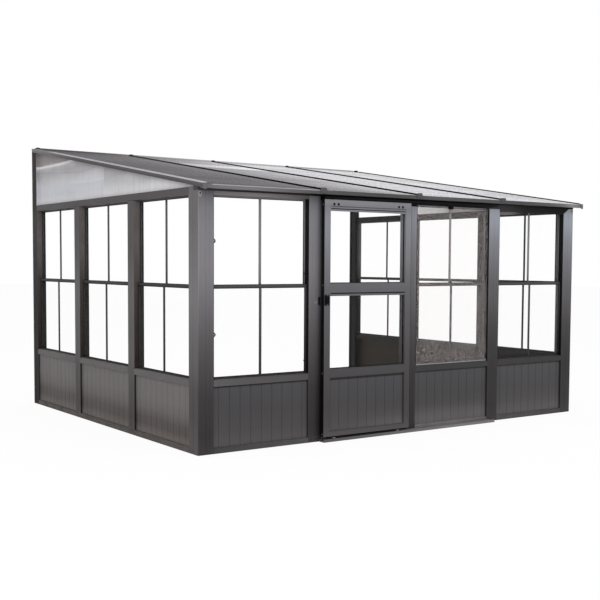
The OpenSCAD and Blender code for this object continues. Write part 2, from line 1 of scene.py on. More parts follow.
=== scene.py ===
import math
import bpy
import numpy as np
from mathutils import Matrix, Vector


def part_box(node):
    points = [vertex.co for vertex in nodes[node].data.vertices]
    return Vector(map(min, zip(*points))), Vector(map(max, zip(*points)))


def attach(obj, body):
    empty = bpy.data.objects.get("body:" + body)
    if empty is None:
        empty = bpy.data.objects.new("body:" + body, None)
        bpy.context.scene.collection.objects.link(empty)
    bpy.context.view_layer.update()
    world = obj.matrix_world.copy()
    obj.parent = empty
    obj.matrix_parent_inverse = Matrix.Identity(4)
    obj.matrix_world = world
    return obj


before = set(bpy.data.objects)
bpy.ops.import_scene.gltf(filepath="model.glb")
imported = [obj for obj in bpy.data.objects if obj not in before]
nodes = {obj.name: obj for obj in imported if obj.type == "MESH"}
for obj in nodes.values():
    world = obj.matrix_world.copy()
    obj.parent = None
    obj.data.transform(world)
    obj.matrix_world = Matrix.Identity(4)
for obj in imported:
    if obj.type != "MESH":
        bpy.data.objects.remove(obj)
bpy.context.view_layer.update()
wallLow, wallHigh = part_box("corner_posts")   # the outer corners of the front wall
print("frame loaded:", len(nodes), "nodes")


def spansOf(name, axis, join=0.004):
    # merges the reach of every triangle along one axis into separate stretches (low, high)
    mesh = nodes[name].data
    places = np.empty(len(mesh.vertices) * 3, np.float32)
    mesh.vertices.foreach_get("co", places)
    places = places.reshape(-1, 3)[:, axis]
    mesh.calc_loop_triangles()
    corners = np.empty(len(mesh.loop_triangles) * 3, np.int32)
    mesh.loop_triangles.foreach_get("vertices", corners)
    reach = places[corners.reshape(-1, 3)]
    order = np.argsort(reach.min(1))
    low = reach.min(1)[order]
    high = np.maximum.accumulate(reach.max(1)[order])
    starts = np.flatnonzero(np.r_[True, low[1:] > high[:-1] + join])
    ends = np.r_[starts[1:] - 1, len(low) - 1]
    return [(float(low[a]), float(high[b])) for a, b in zip(starts, ends)]


def middle(span):
    # the place halfway along a stretch
    return (span[0] + span[1]) / 2


def unit(vector):
    # the same direction at length one
    vector = np.asarray(vector, float)
    return vector / np.linalg.norm(vector)


plumbEnd = 0.0101   # height of a roof sheet's plumb end


def roofSlope():
    # rise of the roof for each metre back, from the two ends of its sheets
    low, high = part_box("roof_sheets")
    return (high.z - low.z - plumbEnd) / (high.y - low.y)


def ringWall(low, high, count):
    # the faces between two rings of points that begin at low and high
    here = np.arange(count)
    after = (here + 1) % count
    return np.stack([low + here, low + after, high + after, high + here], 1).tolist()


def sweptBar(profile, start, end, side):
    # a closed profile (side, out), counter-clockwise, carried along the straight run from start to end
    start = np.asarray(start, float)
    end = np.asarray(end, float)
    side = unit(side)
    out = np.cross(unit(end - start), side)
    ring = profile[:, :1] * side + profile[:, 1:] * out
    points = np.concatenate([start + ring, end + ring])
    count = len(profile)
    ends = [list(range(count))[::-1], list(range(count, 2 * count))]
    return points, ringWall(0, count, count) + ends


def turned(profile, centre, axis, count=16):
    # a profile of (radius, height) with both ends on the axis, turned round that axis
    axis = unit(axis)
    side = unit(np.cross(axis, [0.31, 0.57, 0.76]))
    other = np.cross(axis, side)
    turn = np.arange(count) * 2 * np.pi / count
    spokes = np.cos(turn)[:, None] * side + np.sin(turn)[:, None] * other
    rings = profile[1:-1, 0][:, None, None] * spokes + profile[1:-1, 1][:, None, None] * axis
    poles = profile[[0, -1], 1][:, None] * axis
    points = np.concatenate([rings.reshape(-1, 3), poles]) + np.asarray(centre, float)
    here = np.arange(count)
    after = (here + 1) % count
    last = (len(rings) - 1) * count
    faces = []
    for row in range(0, last, count):
        faces += ringWall(row, row + count, count)
    bottom = len(points) - 2
    faces += np.stack([after, here, np.full(count, bottom)], 1).tolist()
    faces += np.stack([last + here, last + after, np.full(count, bottom + 1)], 1).tolist()
    return points, faces


def ovalRing(centre, across, up, radii, wire, around=20, round=8):
    # a small circle of the wire carried round an oval that lies in the directions across and up
    across, up = unit(across), unit(up)
    axis = np.cross(across, up)
    u = (np.arange(around) * 2 * np.pi / around)[:, None, None]
    v = (np.arange(round) * 2 * np.pi / round)[None, :, None]
    spoke = np.cos(u) * across + np.sin(u) * up
    line = radii[0] * np.cos(u) * across + radii[1] * np.sin(u) * up
    points = line + wire * np.cos(v) * spoke + wire * np.sin(v) * axis + np.asarray(centre, float)
    i, j = np.meshgrid(np.arange(around), np.arange(round), indexing="ij")
    nextI = (i + 1) % around
    nextJ = (j + 1) % round
    quads = np.stack([i * round + j, nextI * round + j, nextI * round + nextJ, i * round + nextJ], -1)
    return points.reshape(-1, 3), quads.reshape(-1, 4).tolist()


def copies(shape, places):
    # the same shape set down at every place
    points, faces = shape
    places = np.asarray(places, float)
    moved = (points[None] + places[:, None]).reshape(-1, 3)
    allFaces = []
    for k in range(len(places)):
        allFaces += [[v + k * len(points) for v in face] for face in faces]
    return moved, allFaces


def joined(shapes):
    # several shapes as one mesh, each with its own points
    points = []
    faces = []
    total = 0
    for shape in shapes:
        points.append(shape[0])
        faces += [[v + total for v in face] for face in shape[1]]
        total += len(shape[0])
    return np.concatenate(points), faces


def softBox(width, depth, bevel):
    # a rectangle with cut corners, counter-clockwise
    a, b = width / 2, depth / 2
    return np.array([[a - bevel, -b], [a, -b + bevel], [a, b - bevel], [a - bevel, b],
                     [-a + bevel, b], [-a, b - bevel], [-a, -b + bevel], [-a + bevel, -b]])


def combStrip(width, skin, rib, pitch):
    # a strip with square ribs along it, counter-clockwise: the flat back, then the front, whose ribs
    # stand 2.1 skins high and are spread evenly from edge to edge
    count = max(2, int(width / pitch))
    start = width / 2 - np.arange(count) * (width - rib) / (count - 1)
    tooth = np.array([[0, 1], [0, 2.1], [-rib, 2.1], [-rib, 1]])
    front = (start[:, None, None] * [1, 0] + tooth[None] * [1, skin]).reshape(-1, 2)
    return np.concatenate([[[-width / 2, 0], [width / 2, 0]], front])


def placed(name, data):
    # a new object that holds the data, in the scene
    made = bpy.data.objects.new(name, data)
    bpy.context.scene.collection.objects.link(made)
    return made


def frameRuns(left, right, low, high):
    # the four straight runs of an upright frame as pairs of corners: foot, head, left and right
    return (((left, low), (right, low)), ((left, high), (right, high)),
            ((left, low), (left, high)), ((right, low), (right, high)))


def piece(name, shape, finish, body, smooth=False):
    # a mesh object from points and faces, with its finish, on the body that it rides
    points, faces = shape
    mesh = bpy.data.meshes.new(name)
    mesh.from_pydata(points.tolist(), [], faces)
    if smooth:
        mesh.shade_smooth()
    mesh.materials.append(paints[finish])
    made = placed(name, mesh)
    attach(made, body)
    return made


class Wire:  # one socket; arithmetic on it adds Math nodes
    def __init__(self, paint, socket):
        self.paint = paint
        self.socket = socket

    def out(self, name):  # another output of the same node
        outputs = self.socket.node.outputs
        found = [s for s in outputs if s.identifier == name] or [s for s in outputs if s.name == name]
        return Wire(self.paint, found[0])

    def of(self, operation, *values):  # any Math operation that has no sign of its own
        return self.paint.node("Math", {"operation": operation}, (self, *values))

    def __add__(self, other):
        return self.of("ADD", other)

    def __mul__(self, other):
        return self.of("MULTIPLY", other)

    __radd__ = __add__
    __rmul__ = __mul__

    def __sub__(self, other):
        return self.of("SUBTRACT", other)

    def __rsub__(self, other):
        return self.of("MULTIPLY", -1.0) + other

    def __truediv__(self, other):
        return self.of("DIVIDE", other)

    def __gt__(self, other):
        return self.of("GREATER_THAN", other)

    def __lt__(self, other):
        return self.of("LESS_THAN", other)

    def between(self, low, high):  # 0 below low, 1 above high, smooth between them
        settings = {"interpolation_type": "SMOOTHSTEP"}
        return self.paint.node("MapRange", settings, {"Value": self, "From Min": low, "From Max": high})

    def near(self, inner, outer):  # 1 within inner of nought on either side, 0 past outer
        return 1 - self.of("ABSOLUTE").between(inner, outer)


class Paint:  # the nodes of one material, or of the world
    def __init__(self, owner):
        self.owner = owner
        owner.use_nodes = True
        self.tree = owner.node_tree
        self.tree.nodes.clear()
        self.place = self.node("TexCoord").out("Object")
        split = self.node("SeparateXYZ", {}, [self.place])
        self.x = split.out("X")
        self.y = split.out("Y")
        self.z = split.out("Z")
        self.fromLeft = self.x - wallLow.x      # metres from the left wall's outer face
        self.fromFront = self.y - wallLow.y     # metres from the front wall's outer face
        self.inward = wallHigh.x - self.x.of("ABSOLUTE")   # metres inwards from a side wall's outer face

    def outward(self):
        # 1 where a face looks away from the building's middle, -1 where it looks in
        normal = self.node("SeparateXYZ", {}, [self.node("NewGeometry").out("Normal")]).out("X")
        return normal * self.x.of("SIGN")

    def roomSide(self):
        # 1 where a face looks into the room
        return self.outward() < -0.3

    def node(self, kind, settings=None, sockets=()):
        # a new node: its settings first, then each socket by name or number, set or linked
        made = self.tree.nodes.new("ShaderNode" + kind)
        for key, value in (settings or {}).items():
            if key == "stops":
                ramp = made.color_ramp
                for k, (spot, color) in enumerate(value):
                    stop = ramp.elements[k] if k < 2 else ramp.elements.new(spot)
                    stop.position = spot
                    stop.color = color
            else:
                setattr(made, key, value)
        pairs = sockets.items() if isinstance(sockets, dict) else enumerate(sockets)
        for key, value in pairs:
            if isinstance(key, str):
                exact = [s for s in made.inputs if s.identifier == key]
                socket = (exact or [s for s in made.inputs if s.name == key])[0]
            else:
                socket = made.inputs[key]
            if isinstance(value, Wire):
                self.tree.links.new(value.socket, socket)
            else:
                socket.default_value = value
        return Wire(self, made.outputs[0]) if made.outputs else None

    def mix(self, factor, first, second, blend="MIX"):
        # the first colour where the factor is 0, the second where it is 1
        settings = {"data_type": "RGBA", "blend_type": blend}
        sockets = {"Factor_Float": factor, "A_Color": first, "B_Color": second}
        return self.node("Mix", settings, sockets).out("Result_Color")

    def times(self, factor, color, *levels):
        # a colour multiplied by a grey, or by red, green and blue, as far as the factor says
        return self.mix(factor, color, rgb(*levels), "MULTIPLY")

    def noise(self, scale, stretch=(1, 1, 1), detail=2, rough=0.5):
        # noise over the piece's own place: cells per metre, times the stretch along each axis
        spot = self.node("Mapping", {}, {"Vector": self.place, "Scale": stretch})
        sockets = {"Vector": spot, "Scale": scale, "Detail": detail, "Roughness": rough}
        return self.node("TexNoise", {}, sockets)

    def slantNoise(self, degrees, scales, detail=1):
        # noise drawn out along a level direction that many degrees from +Y; scales are the cells
        # per metre across and along it
        turn = math.radians(degrees)
        across = (self.x * math.cos(turn) - self.y * math.sin(turn)) * scales[0]
        along = (self.x * math.sin(turn) + self.y * math.cos(turn)) * scales[1]
        vector = self.node("CombineXYZ", {}, [across, along])
        return self.node("TexNoise", {}, {"Vector": vector, "Scale": 1.0, "Detail": detail}).out("Fac")

    def tones(self, along, stops, sheen):
        # a colour that follows stops along a coordinate: (place in metres, level) or
        # (place in metres, level, warmth)
        first, last = stops[0][0], stops[-1][0]
        spots = [((stop[0] - first) / (last - first), coat(*stop[1:], sheen=sheen)) for stop in stops]
        return self.node("ValToRGB", {"stops": spots}, [(along - first) / (last - first)])

    def bump(self, height, strength, distance, normal=None):
        # a normal that follows a height, over another normal or the face's own
        sockets = {"Height": height, "Strength": strength, "Distance": distance}
        if normal:
            sockets["Normal"] = normal
        return self.node("Bump", {}, sockets)

    def finish(self, sockets):
        # the shader and the output, after which the material is done
        shader = self.node("BsdfPrincipled", {}, sockets)
        self.node("OutputMaterial", {}, {"Surface": shader})
        return self.owner


def startPaint(name):
    # a new material with an empty node tree
    return Paint(bpy.data.materials.new(name))


def rgb(red, green=None, blue=None):
    # a linear colour, or a grey from one level
    return (red, red, red, 1) if green is None else (red, green, blue, 1)


def coat(byte, warmth=0.0, sheen=0.0):
    # linear colour of a 0-255 display level, less what the gloss adds; warmth lifts red and lowers blue,
    # and the darker a tone is the less green it holds
    line = max(((byte / 255 + 0.055) / 1.055) ** 2.4 - sheen, 0.0015)
    pale = min(max((byte - 110) / 80, 0), 1)
    return rgb(line * (1.025 - 0.025 * pale + warmth), line * (0.97 + 0.015 * pale), line * (1.005 - warmth))


def gloss(look):
    # what the specular layer of a finish adds to its shown level
    return look["gain"] * look["shine"]


metalLook = {
    "tones": [(0.0, 90), (1.0, 90)],
    "axis": "z",
    # far: right-end tones, painted light; inner: a darker tone on room faces, painted shade
    "far": None,          # tones at the right end of the front, blended in over the spread
    "spread": (0.0, 4.2),
    "inner": None,        # (level, warmth) of a side wall's inner face
    "innerFrom": 0.053,
    "cloud": 0.14,
    "streak": 0.10,
    "dust": 0.22,
    "dirt": (92, 0.08),
    "wear": 0.40,
    "rough": 0.46,
    "shine": 0.30,
    "gain": 0.083,        # level the gloss adds for each unit of shine
    "edge": 0.0018,
    "lines": (260, 260, 5),
}


def coatedMetal(name, look, extra=None):
    # powder coat: tones along an axis, whose rise and fall is painted light and shade, then slow clouds,
    # die lines, orange peel, worn edges and dust at the foot
    look = {**metalLook, **look}
    sheen = gloss(look)
    p = startPaint(name)
    along = {"x": p.fromLeft, "y": p.fromFront, "z": p.z}[look["axis"]]
    color = p.tones(along, look["tones"], sheen)
    # the right end of the front takes other tones: painted light
    if look["far"]:
        shift = (p.fromLeft - look["spread"][0]) / (look["spread"][1] - look["spread"][0])
        color = p.mix(shift.of("MAXIMUM", 0.0).of("MINIMUM", 1.0), color, p.tones(along, look["far"], sheen))
    if look["inner"]:
        # room faces take a darker tone: painted shade
        inside = (p.inward > look["innerFrom"]).of("MAXIMUM", p.roomSide())
        color = p.mix(inside, color, coat(*look["inner"], sheen))
    if extra:
        color = extra(p, color, sheen)
    cloud = p.noise(2.1, detail=3)
    peel = p.noise(420, detail=1)
    lines = p.noise(1, stretch=look["lines"], detail=2)
    bevel = p.node("Bevel", {"samples": 4}, {"Radius": look["edge"]})
    flat = p.node("NewGeometry").out("Normal")
    turn = p.node("VectorMath", {"operation": "DOT_PRODUCT"}, [bevel, flat]).out("Value")
    wear = (1 - turn).between(0.02, 0.3) * p.noise(38, detail=3).between(0.42, 0.62)
    color = p.times(cloud.between(0.35, 0.7) * look["cloud"], color, 0.55, 0.54, 0.54)
    color = p.times(lines.between(0.5, 0.75) * look["streak"], color, 1.9, 1.9, 1.95)
    color = p.times(wear * look["wear"], color, 2.1, 2.1, 2.15)
    dust = (1 - p.z.between(0.0, 0.14)) * p.noise(9, detail=4).between(0.4, 0.7)
    color = p.mix(dust * look["dust"], color, coat(*look["dirt"], sheen))
    rough = look["rough"] + (cloud - 0.5) * 0.18 + (peel - 0.5) * 0.08 + dust * 0.25
    return p.finish({"Base Color": color, "Roughness": rough, "Specular IOR Level": look["shine"],
                     "Normal": p.bump(peel * 0.5 + lines * 0.5, 0.16, 0.0007, bevel)})


alongX = {"axis": "x", "lines": (5, 260, 260)}   # tones and die lines that run across the front
alongY = {"axis": "y", "lines": (260, 5, 260)}   # and from front to back
# side walls: room faces take a darker tone as painted shade
sideLook = {"inner": (50, 0.12), "shine": 0.12, "gain": 0.15}

# levels up the front posts: painted reflection, paler and bluer towards the top, darker and warmer at the
# foot; at the right end paler and bluer still, as painted light
postLook = {
    "tones": [(0.0, 62, 0.04), (0.15, 57, 0.05), (0.45, 62, 0.05), (0.7, 76, 0.02), (0.9, 88),
              (1.1, 103, -0.01), (1.3, 115, -0.02), (1.5, 123, -0.02), (1.75, 123, -0.03),
              (1.9, 118, -0.03), (2.03, 104, -0.03)],
    "far": [(0.0, 62, 0.04), (0.15, 56, 0.05), (0.5, 56, 0.05), (0.7, 62, 0.03), (0.9, 72, 0.01),
            (1.1, 87, -0.01), (1.3, 96, -0.03), (1.5, 112, -0.05), (1.7, 130, -0.07), (1.85, 148, -0.09),
            (2.03, 160, -0.09)],
    "spread": (0.9, 3.1),
}
# levels up the side posts and the corner posts' side legs: painted light and shade of the side wall
sideTones = [(0.0, 80, 0.06), (0.15, 64, 0.07), (0.3, 74, 0.06), (0.5, 79, 0.04), (0.7, 89, 0.03),
             (0.9, 92, 0.02), (1.2, 98, 0.01), (1.4, 92, 0.01), (1.6, 86, 0.01), (2.1, 84, 0.01)]
cornerSideTones = [(0.0, 82, 0.06), (0.3, 74, 0.06), (0.5, 79, 0.04), (0.7, 96, 0.02), (0.9, 102, 0.01),
                   (1.2, 115), (1.5, 113), (1.8, 105), (2.1, 104)]


postShade = {
    "leg": (0.0712, 0.0012),      # the side leg: metres behind the front face, or in from the side
    "legGloss": 0.022,
    "leaf": (-0.042, 0.022),      # from the leaf's closing edge: where its shadow starts and is full
    "leafEnd": 0.06,
    "shadow": (34, 0.03),
    # the rim is a painted highlight along the corner edge
    "rim": (0.008, 0.002),        # the pale corner: metres in from the side and back from the front
}


def postShades(p, color, sheen):
    # a corner post's side leg has the side wall's tones as painted light, the post beside the door has a
    # painted shadow along the leaf, and the corner edge a painted highlight
    look = postShade
    leg = (p.fromFront > look["leg"][0]).of("MAXIMUM", p.inward < look["leg"][1])
    color = p.mix(leg, color, p.tones(p.z, cornerSideTones, sheen + look["legGloss"]))
    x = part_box("door_frame")[0].x
    shade = (p.x - x).between(*look["leaf"]) * ((p.x - x) < look["leafEnd"])
    color = p.mix(shade * 0.85, color, coat(*look["shadow"], sheen))
    rim = (look["rim"][0] > p.inward) * (look["rim"][1] > p.fromFront)
    return p.times(rim * 0.22, color, 2)


jambShade = {"start": (0.001, 0.003), "end": (0.011, 0.016), "share": 0.8, "tone": (30, 0.08)}


def jambLine(p, color, sheen):
    # a painted shade line down each side post's window faces, just behind their outer edge
    face = p.node("NewGeometry").out("Normal")
    across = p.node("SeparateXYZ", {}, [face]).out("Y").of("ABSOLUTE") > 0.7
    line = p.inward.between(*jambShade["start"]) * (1 - p.inward.between(*jambShade["end"])) * across
    return p.mix(line * jambShade["share"], color, coat(*jambShade["tone"], sheen))


channelShade = {"paleEnd": 0.010, "darkEnd": 0.028, "pale": (76, 0.03), "dark": (30, 0.05)}


def wallChannelShade(p, color, sheen):
    # the channel against the house is nearly black as painted shade; its window face has a painted highlight
    # along the outer edge and a painted shade line behind it
    look = channelShade
    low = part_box("rear_posts")[0].y
    side = p.y < low + 0.001
    color = p.mix(side * (look["paleEnd"] > p.inward), color, coat(*look["pale"], sheen))
    line = side * (p.inward > look["paleEnd"]) * (look["darkEnd"] > p.inward)
    return p.mix(line, color, coat(*look["dark"], sheen))


def doorEdgeDark(p, color, sheen):
    # both upright edges of the leaf are painted near-black all the way up
    low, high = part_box("door_frame")
    skin = 0.0012
    return p.mix((p.x < low.x + skin).of("MAXIMUM", p.x > high.x - skin), color, coat(16, 0.0, sheen))


lipHighlight = {"below": 0.0015, "fade": (2.85, 3.15), "tone": (182, -0.01)}


def brightLip(p, color, sheen):
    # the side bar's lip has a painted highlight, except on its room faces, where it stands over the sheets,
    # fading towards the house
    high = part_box("side_roof_bars")[1]
    over = p.z - ((p.y - high.y) * roofSlope() + high.z - lipHighlight["below"])
    lip = (over > 0.0) * (1 - p.fromFront.between(*lipHighlight["fade"])) * (p.outward() > -0.3)
    return p.mix(lip, color, coat(*lipHighlight["tone"], sheen))


sunLook = {"start": (0.56, 0.80), "end": (1.05, 1.15), "tone": (156, 0.0)}   # metres behind the front


def sunPatch(p, color, sheen):
    # the right wall's rail is paler where light falls on it behind the front corner
    pool = p.fromFront.between(*sunLook["start"]) * (1 - p.fromFront.between(*sunLook["end"])) * (p.x > 0.0)
    return p.mix(pool * p.roomSide(), color, coat(*sunLook["tone"], sheen))


fasciaShine = {"height": 0.0055, "from": 0.066, "fade": (0.95, 1.25), "tone": (168, -0.02)}


def fasciaTop(p, color, sheen):
    # the fascia's upper edge shines over the first bay
    look = fasciaShine
    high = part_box("eave_fascia")[1]
    edge = p.z > high.z - look["height"]
    bright = edge * (1 - p.fromLeft.between(*look["fade"])) * (p.fromLeft > look["from"])
    return p.mix(bright, color, coat(*look["tone"], sheen))


# levels along the front edge of the roof, and down the sashes: painted light and shade, with a band of
# painted shade where the sashes meet, and darker room faces on the side sashes as painted shade
eaveTones = [(-0.02, 104, 0.01), (0.15, 116), (0.4, 117), (0.7, 107), (1.0, 92, 0.01), (1.3, 85, 0.01),
             (1.7, 81, 0.01), (2.0, 84, 0.01), (2.4, 92), (2.8, 89), (3.1, 87), (3.4, 79, 0.01), (3.8, 94),
             (4.0, 110), (4.12, 130), (4.29, 108)]
sashLook = {
    "tones": [(0.58, 58), (0.8, 64), (1.0, 76), (1.275, 84), (1.284, 74), (1.308, 74), (1.317, 104),
              (1.5, 122, -0.01), (2.0, 124, -0.02)],
    "cloud": 0.10,
}
sideSashLook = {
    **sideLook,
    "tones": [(0.58, 58, 0.02), (1.0, 68, 0.01), (1.275, 70), (1.283, 60), (1.309, 60), (1.318, 76),
              (1.5, 84), (2.0, 86)],
    "inner": (62, 0.02),
    "innerFrom": 0.075,
}

boardLook = {
    "tones": [(0.0, 88, 0.04), (0.08, 83, 0.03), (0.16, 77, 0.01), (0.3, 74), (0.42, 75, -0.03),
              (0.53, 78, -0.03)],
    "sideTones": [(0.0, 104, 0.13), (0.07, 93, 0.12), (0.13, 74, 0.10), (0.19, 76, 0.08), (0.27, 95, 0.06),
                  (0.36, 103, 0.04), (0.53, 105, 0.03)],
    "inner": (49, 0.60),
    "foot": (120, 0.02),
    "footReach": (0.05, 0.24),     # height where the pale foot starts to fade and is gone
    "footBays": ((1.2, 2.3), (3.0, 3.3)),   # metres from the left: where it sets in, and where it weakens
    "sillLine": (0.506, 0.514),
    "sway": 0.07,
    "rough": 0.42,
    "shine": 0.30,
    "gain": 0.083,
}


def boardPaint(name, look, side):
    # the coat of the boarded panels: satin, a band of painted shade above a foot paler as painted light,
    # and room faces on the side walls darker as painted shade
    p = startPaint(name)
    sheen = gloss(look)
    cloud = p.noise(3.2, stretch=(1, 1, 0.6), detail=3)
    peel = p.noise(520, detail=1)
    brush = p.noise(1, stretch=(240, 240, 6), detail=2)
    sway = (p.noise(1.9, stretch=(1, 1, 0.3), detail=2) - 0.5) * look["sway"]
    color = p.tones(p.z + sway * p.z.between(0.0, 0.2), look["sideTones" if side else "tones"], sheen)
    if side:
        color = p.mix(p.roomSide(), color, coat(*look["inner"], sheen))
    else:
        # a foot paler as painted light, palest in the third bay, and a painted shade line under the sill
        # rail
        start, end = look["footBays"]
        third = p.fromLeft.between(*start) * (1 - p.fromLeft.between(*end) * 0.7)
        foot = (1 - p.z.between(*look["footReach"])) * third
        color = p.mix(foot * 0.42, color, coat(*look["foot"], sheen))
        color = p.times(p.z.between(*look["sillLine"]), color, 0.1)
    color = p.times(cloud.between(0.4, 0.7) * 0.10, color, 0.6)
    color = p.times(brush.between(0.5, 0.8) * 0.08, color, 1.8)
    rough = look["rough"] + (cloud - 0.5) * 0.14
    return p.finish({"Base Color": color, "Roughness": rough, "Specular IOR Level": look["shine"],
                     "Normal": p.bump(peel * 0.4 + brush * 0.6, 0.14, 0.0006)})


roofLook = {
    "tones": [(0.0, 104, -0.02), (0.4, 108, -0.02), (0.75, 114, -0.02), (1.09, 128, -0.01),
              (1.11, 146, -0.01), (1.45, 154, -0.01), (1.7, 164, -0.01), (1.9, 176), (2.125, 188),
              (2.145, 203, -0.01), (2.8, 206, -0.01), (3.155, 205, -0.01), (3.18, 210, -0.01),
              (3.7, 209, -0.01), (4.0, 202, -0.01), (4.27, 202, -0.01)],
    "second": (1.1, 2.14),  # metres from the left: the sheet with the pale pool
    "pool": 2.45,         # metres back from the front wall: middle of the pool
    "poolTone": (232, -0.01),
    "poolShadow": 0.36,   # the dull patch's middle, in front of the pool's
    "far": (2.65, 3.45),  # metres back, where the duller upper end starts and is full
    "farShade": 0.24,
    "flutePitch": 0.011,
    "band": 0.16,
    "grain": 0.26,
    "scuff": 0.30,
    "rough": 0.7,
}


def roofSheetPaint(name, look):
    # twin-wall sheet: paler from bay to bay as painted light, with a painted pool of light and a painted
    # shade patch on the second sheet, banded across, strongly grained, and painted shade along its upper end
    p = startPaint(name)
    color = p.tones(p.fromLeft, look["tones"], 0.0)
    bands = p.noise(1, stretch=(0.6, 3.2, 1), detail=4, rough=0.6)
    grain = p.noise(75, detail=1)
    mottle = p.noise(1, stretch=(34, 5, 5), detail=2)
    scuffs = p.slantNoise(35, (90, 7))
    flute = (p.x * (2 * math.pi / look["flutePitch"])).of("SINE") * 0.5 + 0.5
    second = (p.fromLeft > look["second"][0]) * (look["second"][1] > p.fromLeft)
    # a painted pool of light on the second sheet, with a patch of painted shade in front of it
    near = (p.fromFront - look["pool"]).near(0.05, 0.36)
    color = p.mix(near * second * p.fromLeft.between(0.7, 2.1) * 0.9, color, coat(*look["poolTone"]))
    dull = (p.fromFront - look["pool"] + look["poolShadow"]).near(0.04, 0.16)
    color = p.times(dull * second * 0.20, color, 0.4)
    color = p.times(bands.between(0.48, 0.68) * look["band"], color, 1.7)
    color = p.times((1 - bands.between(0.34, 0.50)) * look["band"] * 1.3, color, 0.45, 0.45, 0.46)
    share = look["grain"] * (0.35 + p.fromLeft.between(0.9, 2.2) * 0.65)
    color = p.times(grain.between(0.46, 0.60) * share, color, 1.6)
    color = p.times((1 - grain.between(0.40, 0.54)) * share, color, 0.35, 0.35, 0.36)
    color = p.times((1 - mottle.between(0.34, 0.50)) * share * 0.5, color, 0.5)
    color = p.times((1 - scuffs.between(0.34, 0.56)) * look["scuff"], color, 0.5)
    color = p.times(scuffs.between(0.48, 0.62) * look["scuff"], color, 1.4)
    # painted shade along the upper end, over the left sheets
    far = p.fromFront.between(*look["far"]) * (1 - p.fromLeft.between(1.5, look["second"][1]))
    color = p.times(far * look["farShade"], color, 0.3)
    color = p.times(flute * 0.06, color, 0.6)
    return p.finish({"Base Color": color, "Roughness": look["rough"] + (mottle - 0.5) * 0.2,
                     "Specular IOR Level": 0.0,
                     "Normal": p.bump(flute * 0.4 + mottle * 0.6, 0.12, 0.0006)})


gableLook = {
    "rear": [(2.05, 208, -0.02), (2.10, 204, -0.02), (2.14, 196, -0.03), (2.20, 194, -0.04),
             (2.26, 194, -0.03), (2.30, 184, -0.02), (2.34, 170, -0.01), (2.385, 162), (2.42, 172),
             (2.433, 212), (2.447, 214), (2.457, 138, 0.03), (2.6, 128, 0.04)],
    "front": [(2.05, 210, -0.01), (2.10, 206, -0.01), (2.14, 196, -0.02), (2.18, 184, -0.02),
              (2.22, 176, -0.01), (2.28, 166), (2.34, 156), (2.6, 146)],
    "joint": 1.783,       # metres back from the front wall, where two sheets meet
    "seams": [0.498, 0.864, 1.167, 1.821, 2.602],
    "crest": 2.236,       # height of the pale crest on the rear sheet
    "ripple": 2.329,      # height of the dark ripple above it at its lowest, which is this far back:
    "rippleMiddle": 2.333,
    "inside": [(0.0, 110), (1.72, 122), (1.86, 168), (2.25, 180), (2.55, 255), (3.5, 255)],
    "flutePitch": 0.011,
    "rough": 0.40,
    "shine": 0.10,
    "gain": 0.10,
}


def gableSheetPaint(name, look):
    # twin-wall sheet seen from its side: two sheets with waves, a crest painted as a highlight under a wedge
    # of painted shade, and light given off by the room face in place of daylight through the sheet
    p = startPaint(name)
    sheen = gloss(look)
    wave = (p.noise(1.5, stretch=(1, 1, 0.4), detail=2) - 0.5) * 0.05
    fold = p.noise(2.4, stretch=(1, 0.7, 4.0), detail=4, rough=0.6)
    streaks = p.noise(1, stretch=(40, 40, 2.2), detail=3)
    flute = (p.y * (2 * math.pi / look["flutePitch"])).of("SINE") * 0.5 + 0.5
    near = p.fromFront.between(2.2, 3.0)
    height = p.z + wave * (1 - near)
    lift = (1 - p.fromFront.between(1.9, 2.9)) * p.z.between(2.38, 2.44) * 0.05
    # levels that darken upward as painted shade under the roof
    rear = p.tones(height - lift, look["rear"], sheen)
    front = p.tones(height - (1 - p.fromFront.between(0.35, 1.0)) * 0.07, look["front"], sheen)
    color = p.mix(p.fromFront > look["joint"], front, rear)
    color = p.mix(fold.between(0.50, 0.68) * 0.25, color, coat(205, -0.02, sheen))
    color = p.times((1 - fold.between(0.32, 0.48)) * 0.22, color, 0.6)
    # a painted shade line along a ripple, and a painted highlight along a crest
    dip = (p.fromFront - look["rippleMiddle"]).of("ABSOLUTE") * 0.055
    ripple = (p.z - look["ripple"] - dip).near(0.002, 0.006) * p.fromFront.between(1.8, 1.95)
    color = p.times(ripple * 0.22, color, 0.4)
    crest = (p.z - look["crest"] - wave).near(0.004, 0.018) * (p.fromFront > look["joint"])
    color = p.mix(crest * (1 - p.fromFront.between(2.4, 2.7)) * 0.35, color, coat(210, -0.01, sheen))
    color = p.times(streaks.between(0.5, 0.75) * 0.14, color, 1.4)
    color = p.times((1 - streaks.between(0.28, 0.5)) * 0.14, color, 0.6)
    for seam in look["seams"]:
        line = (p.fromFront - seam).near(0.003, 0.009)
        color = p.times(line * 0.25, color, 0.5)
    color = p.times(flute * 0.03, color, 0.6)
    roomFace = p.roomSide()
    daylight = p.tones(p.fromFront, look["inside"], 0.0)
    return p.finish({"Base Color": p.mix(roomFace, color, rgb(0.02)),
                     "Roughness": look["rough"] + (fold - 0.5) * 0.15,
                     "Emission Color": p.mix(roomFace, rgb(0), daylight), "Emission Strength": 1.0,
                     "Specular IOR Level": look["shine"],
                     "Normal": p.bump(flute * 0.4 + streaks * 0.6, 0.12, 0.0005)})


def clearFilm(name, alpha, rough):
    # thin clear film or glass: barely seen, with slow ripples in its gloss
    p = startPaint(name)
    ripple = p.noise(6, stretch=(1, 1, 0.6), detail=2)
    smear = p.noise(1.3, detail=3).between(0.5, 0.8)
    return p.finish({"Base Color": rgb(0.93, 0.95, 0.96), "Roughness": rough + smear * 0.12,
                     "Alpha": alpha + smear * alpha, "Specular IOR Level": 0.3,
                     "Normal": p.bump(ripple, 0.25, 0.004)})


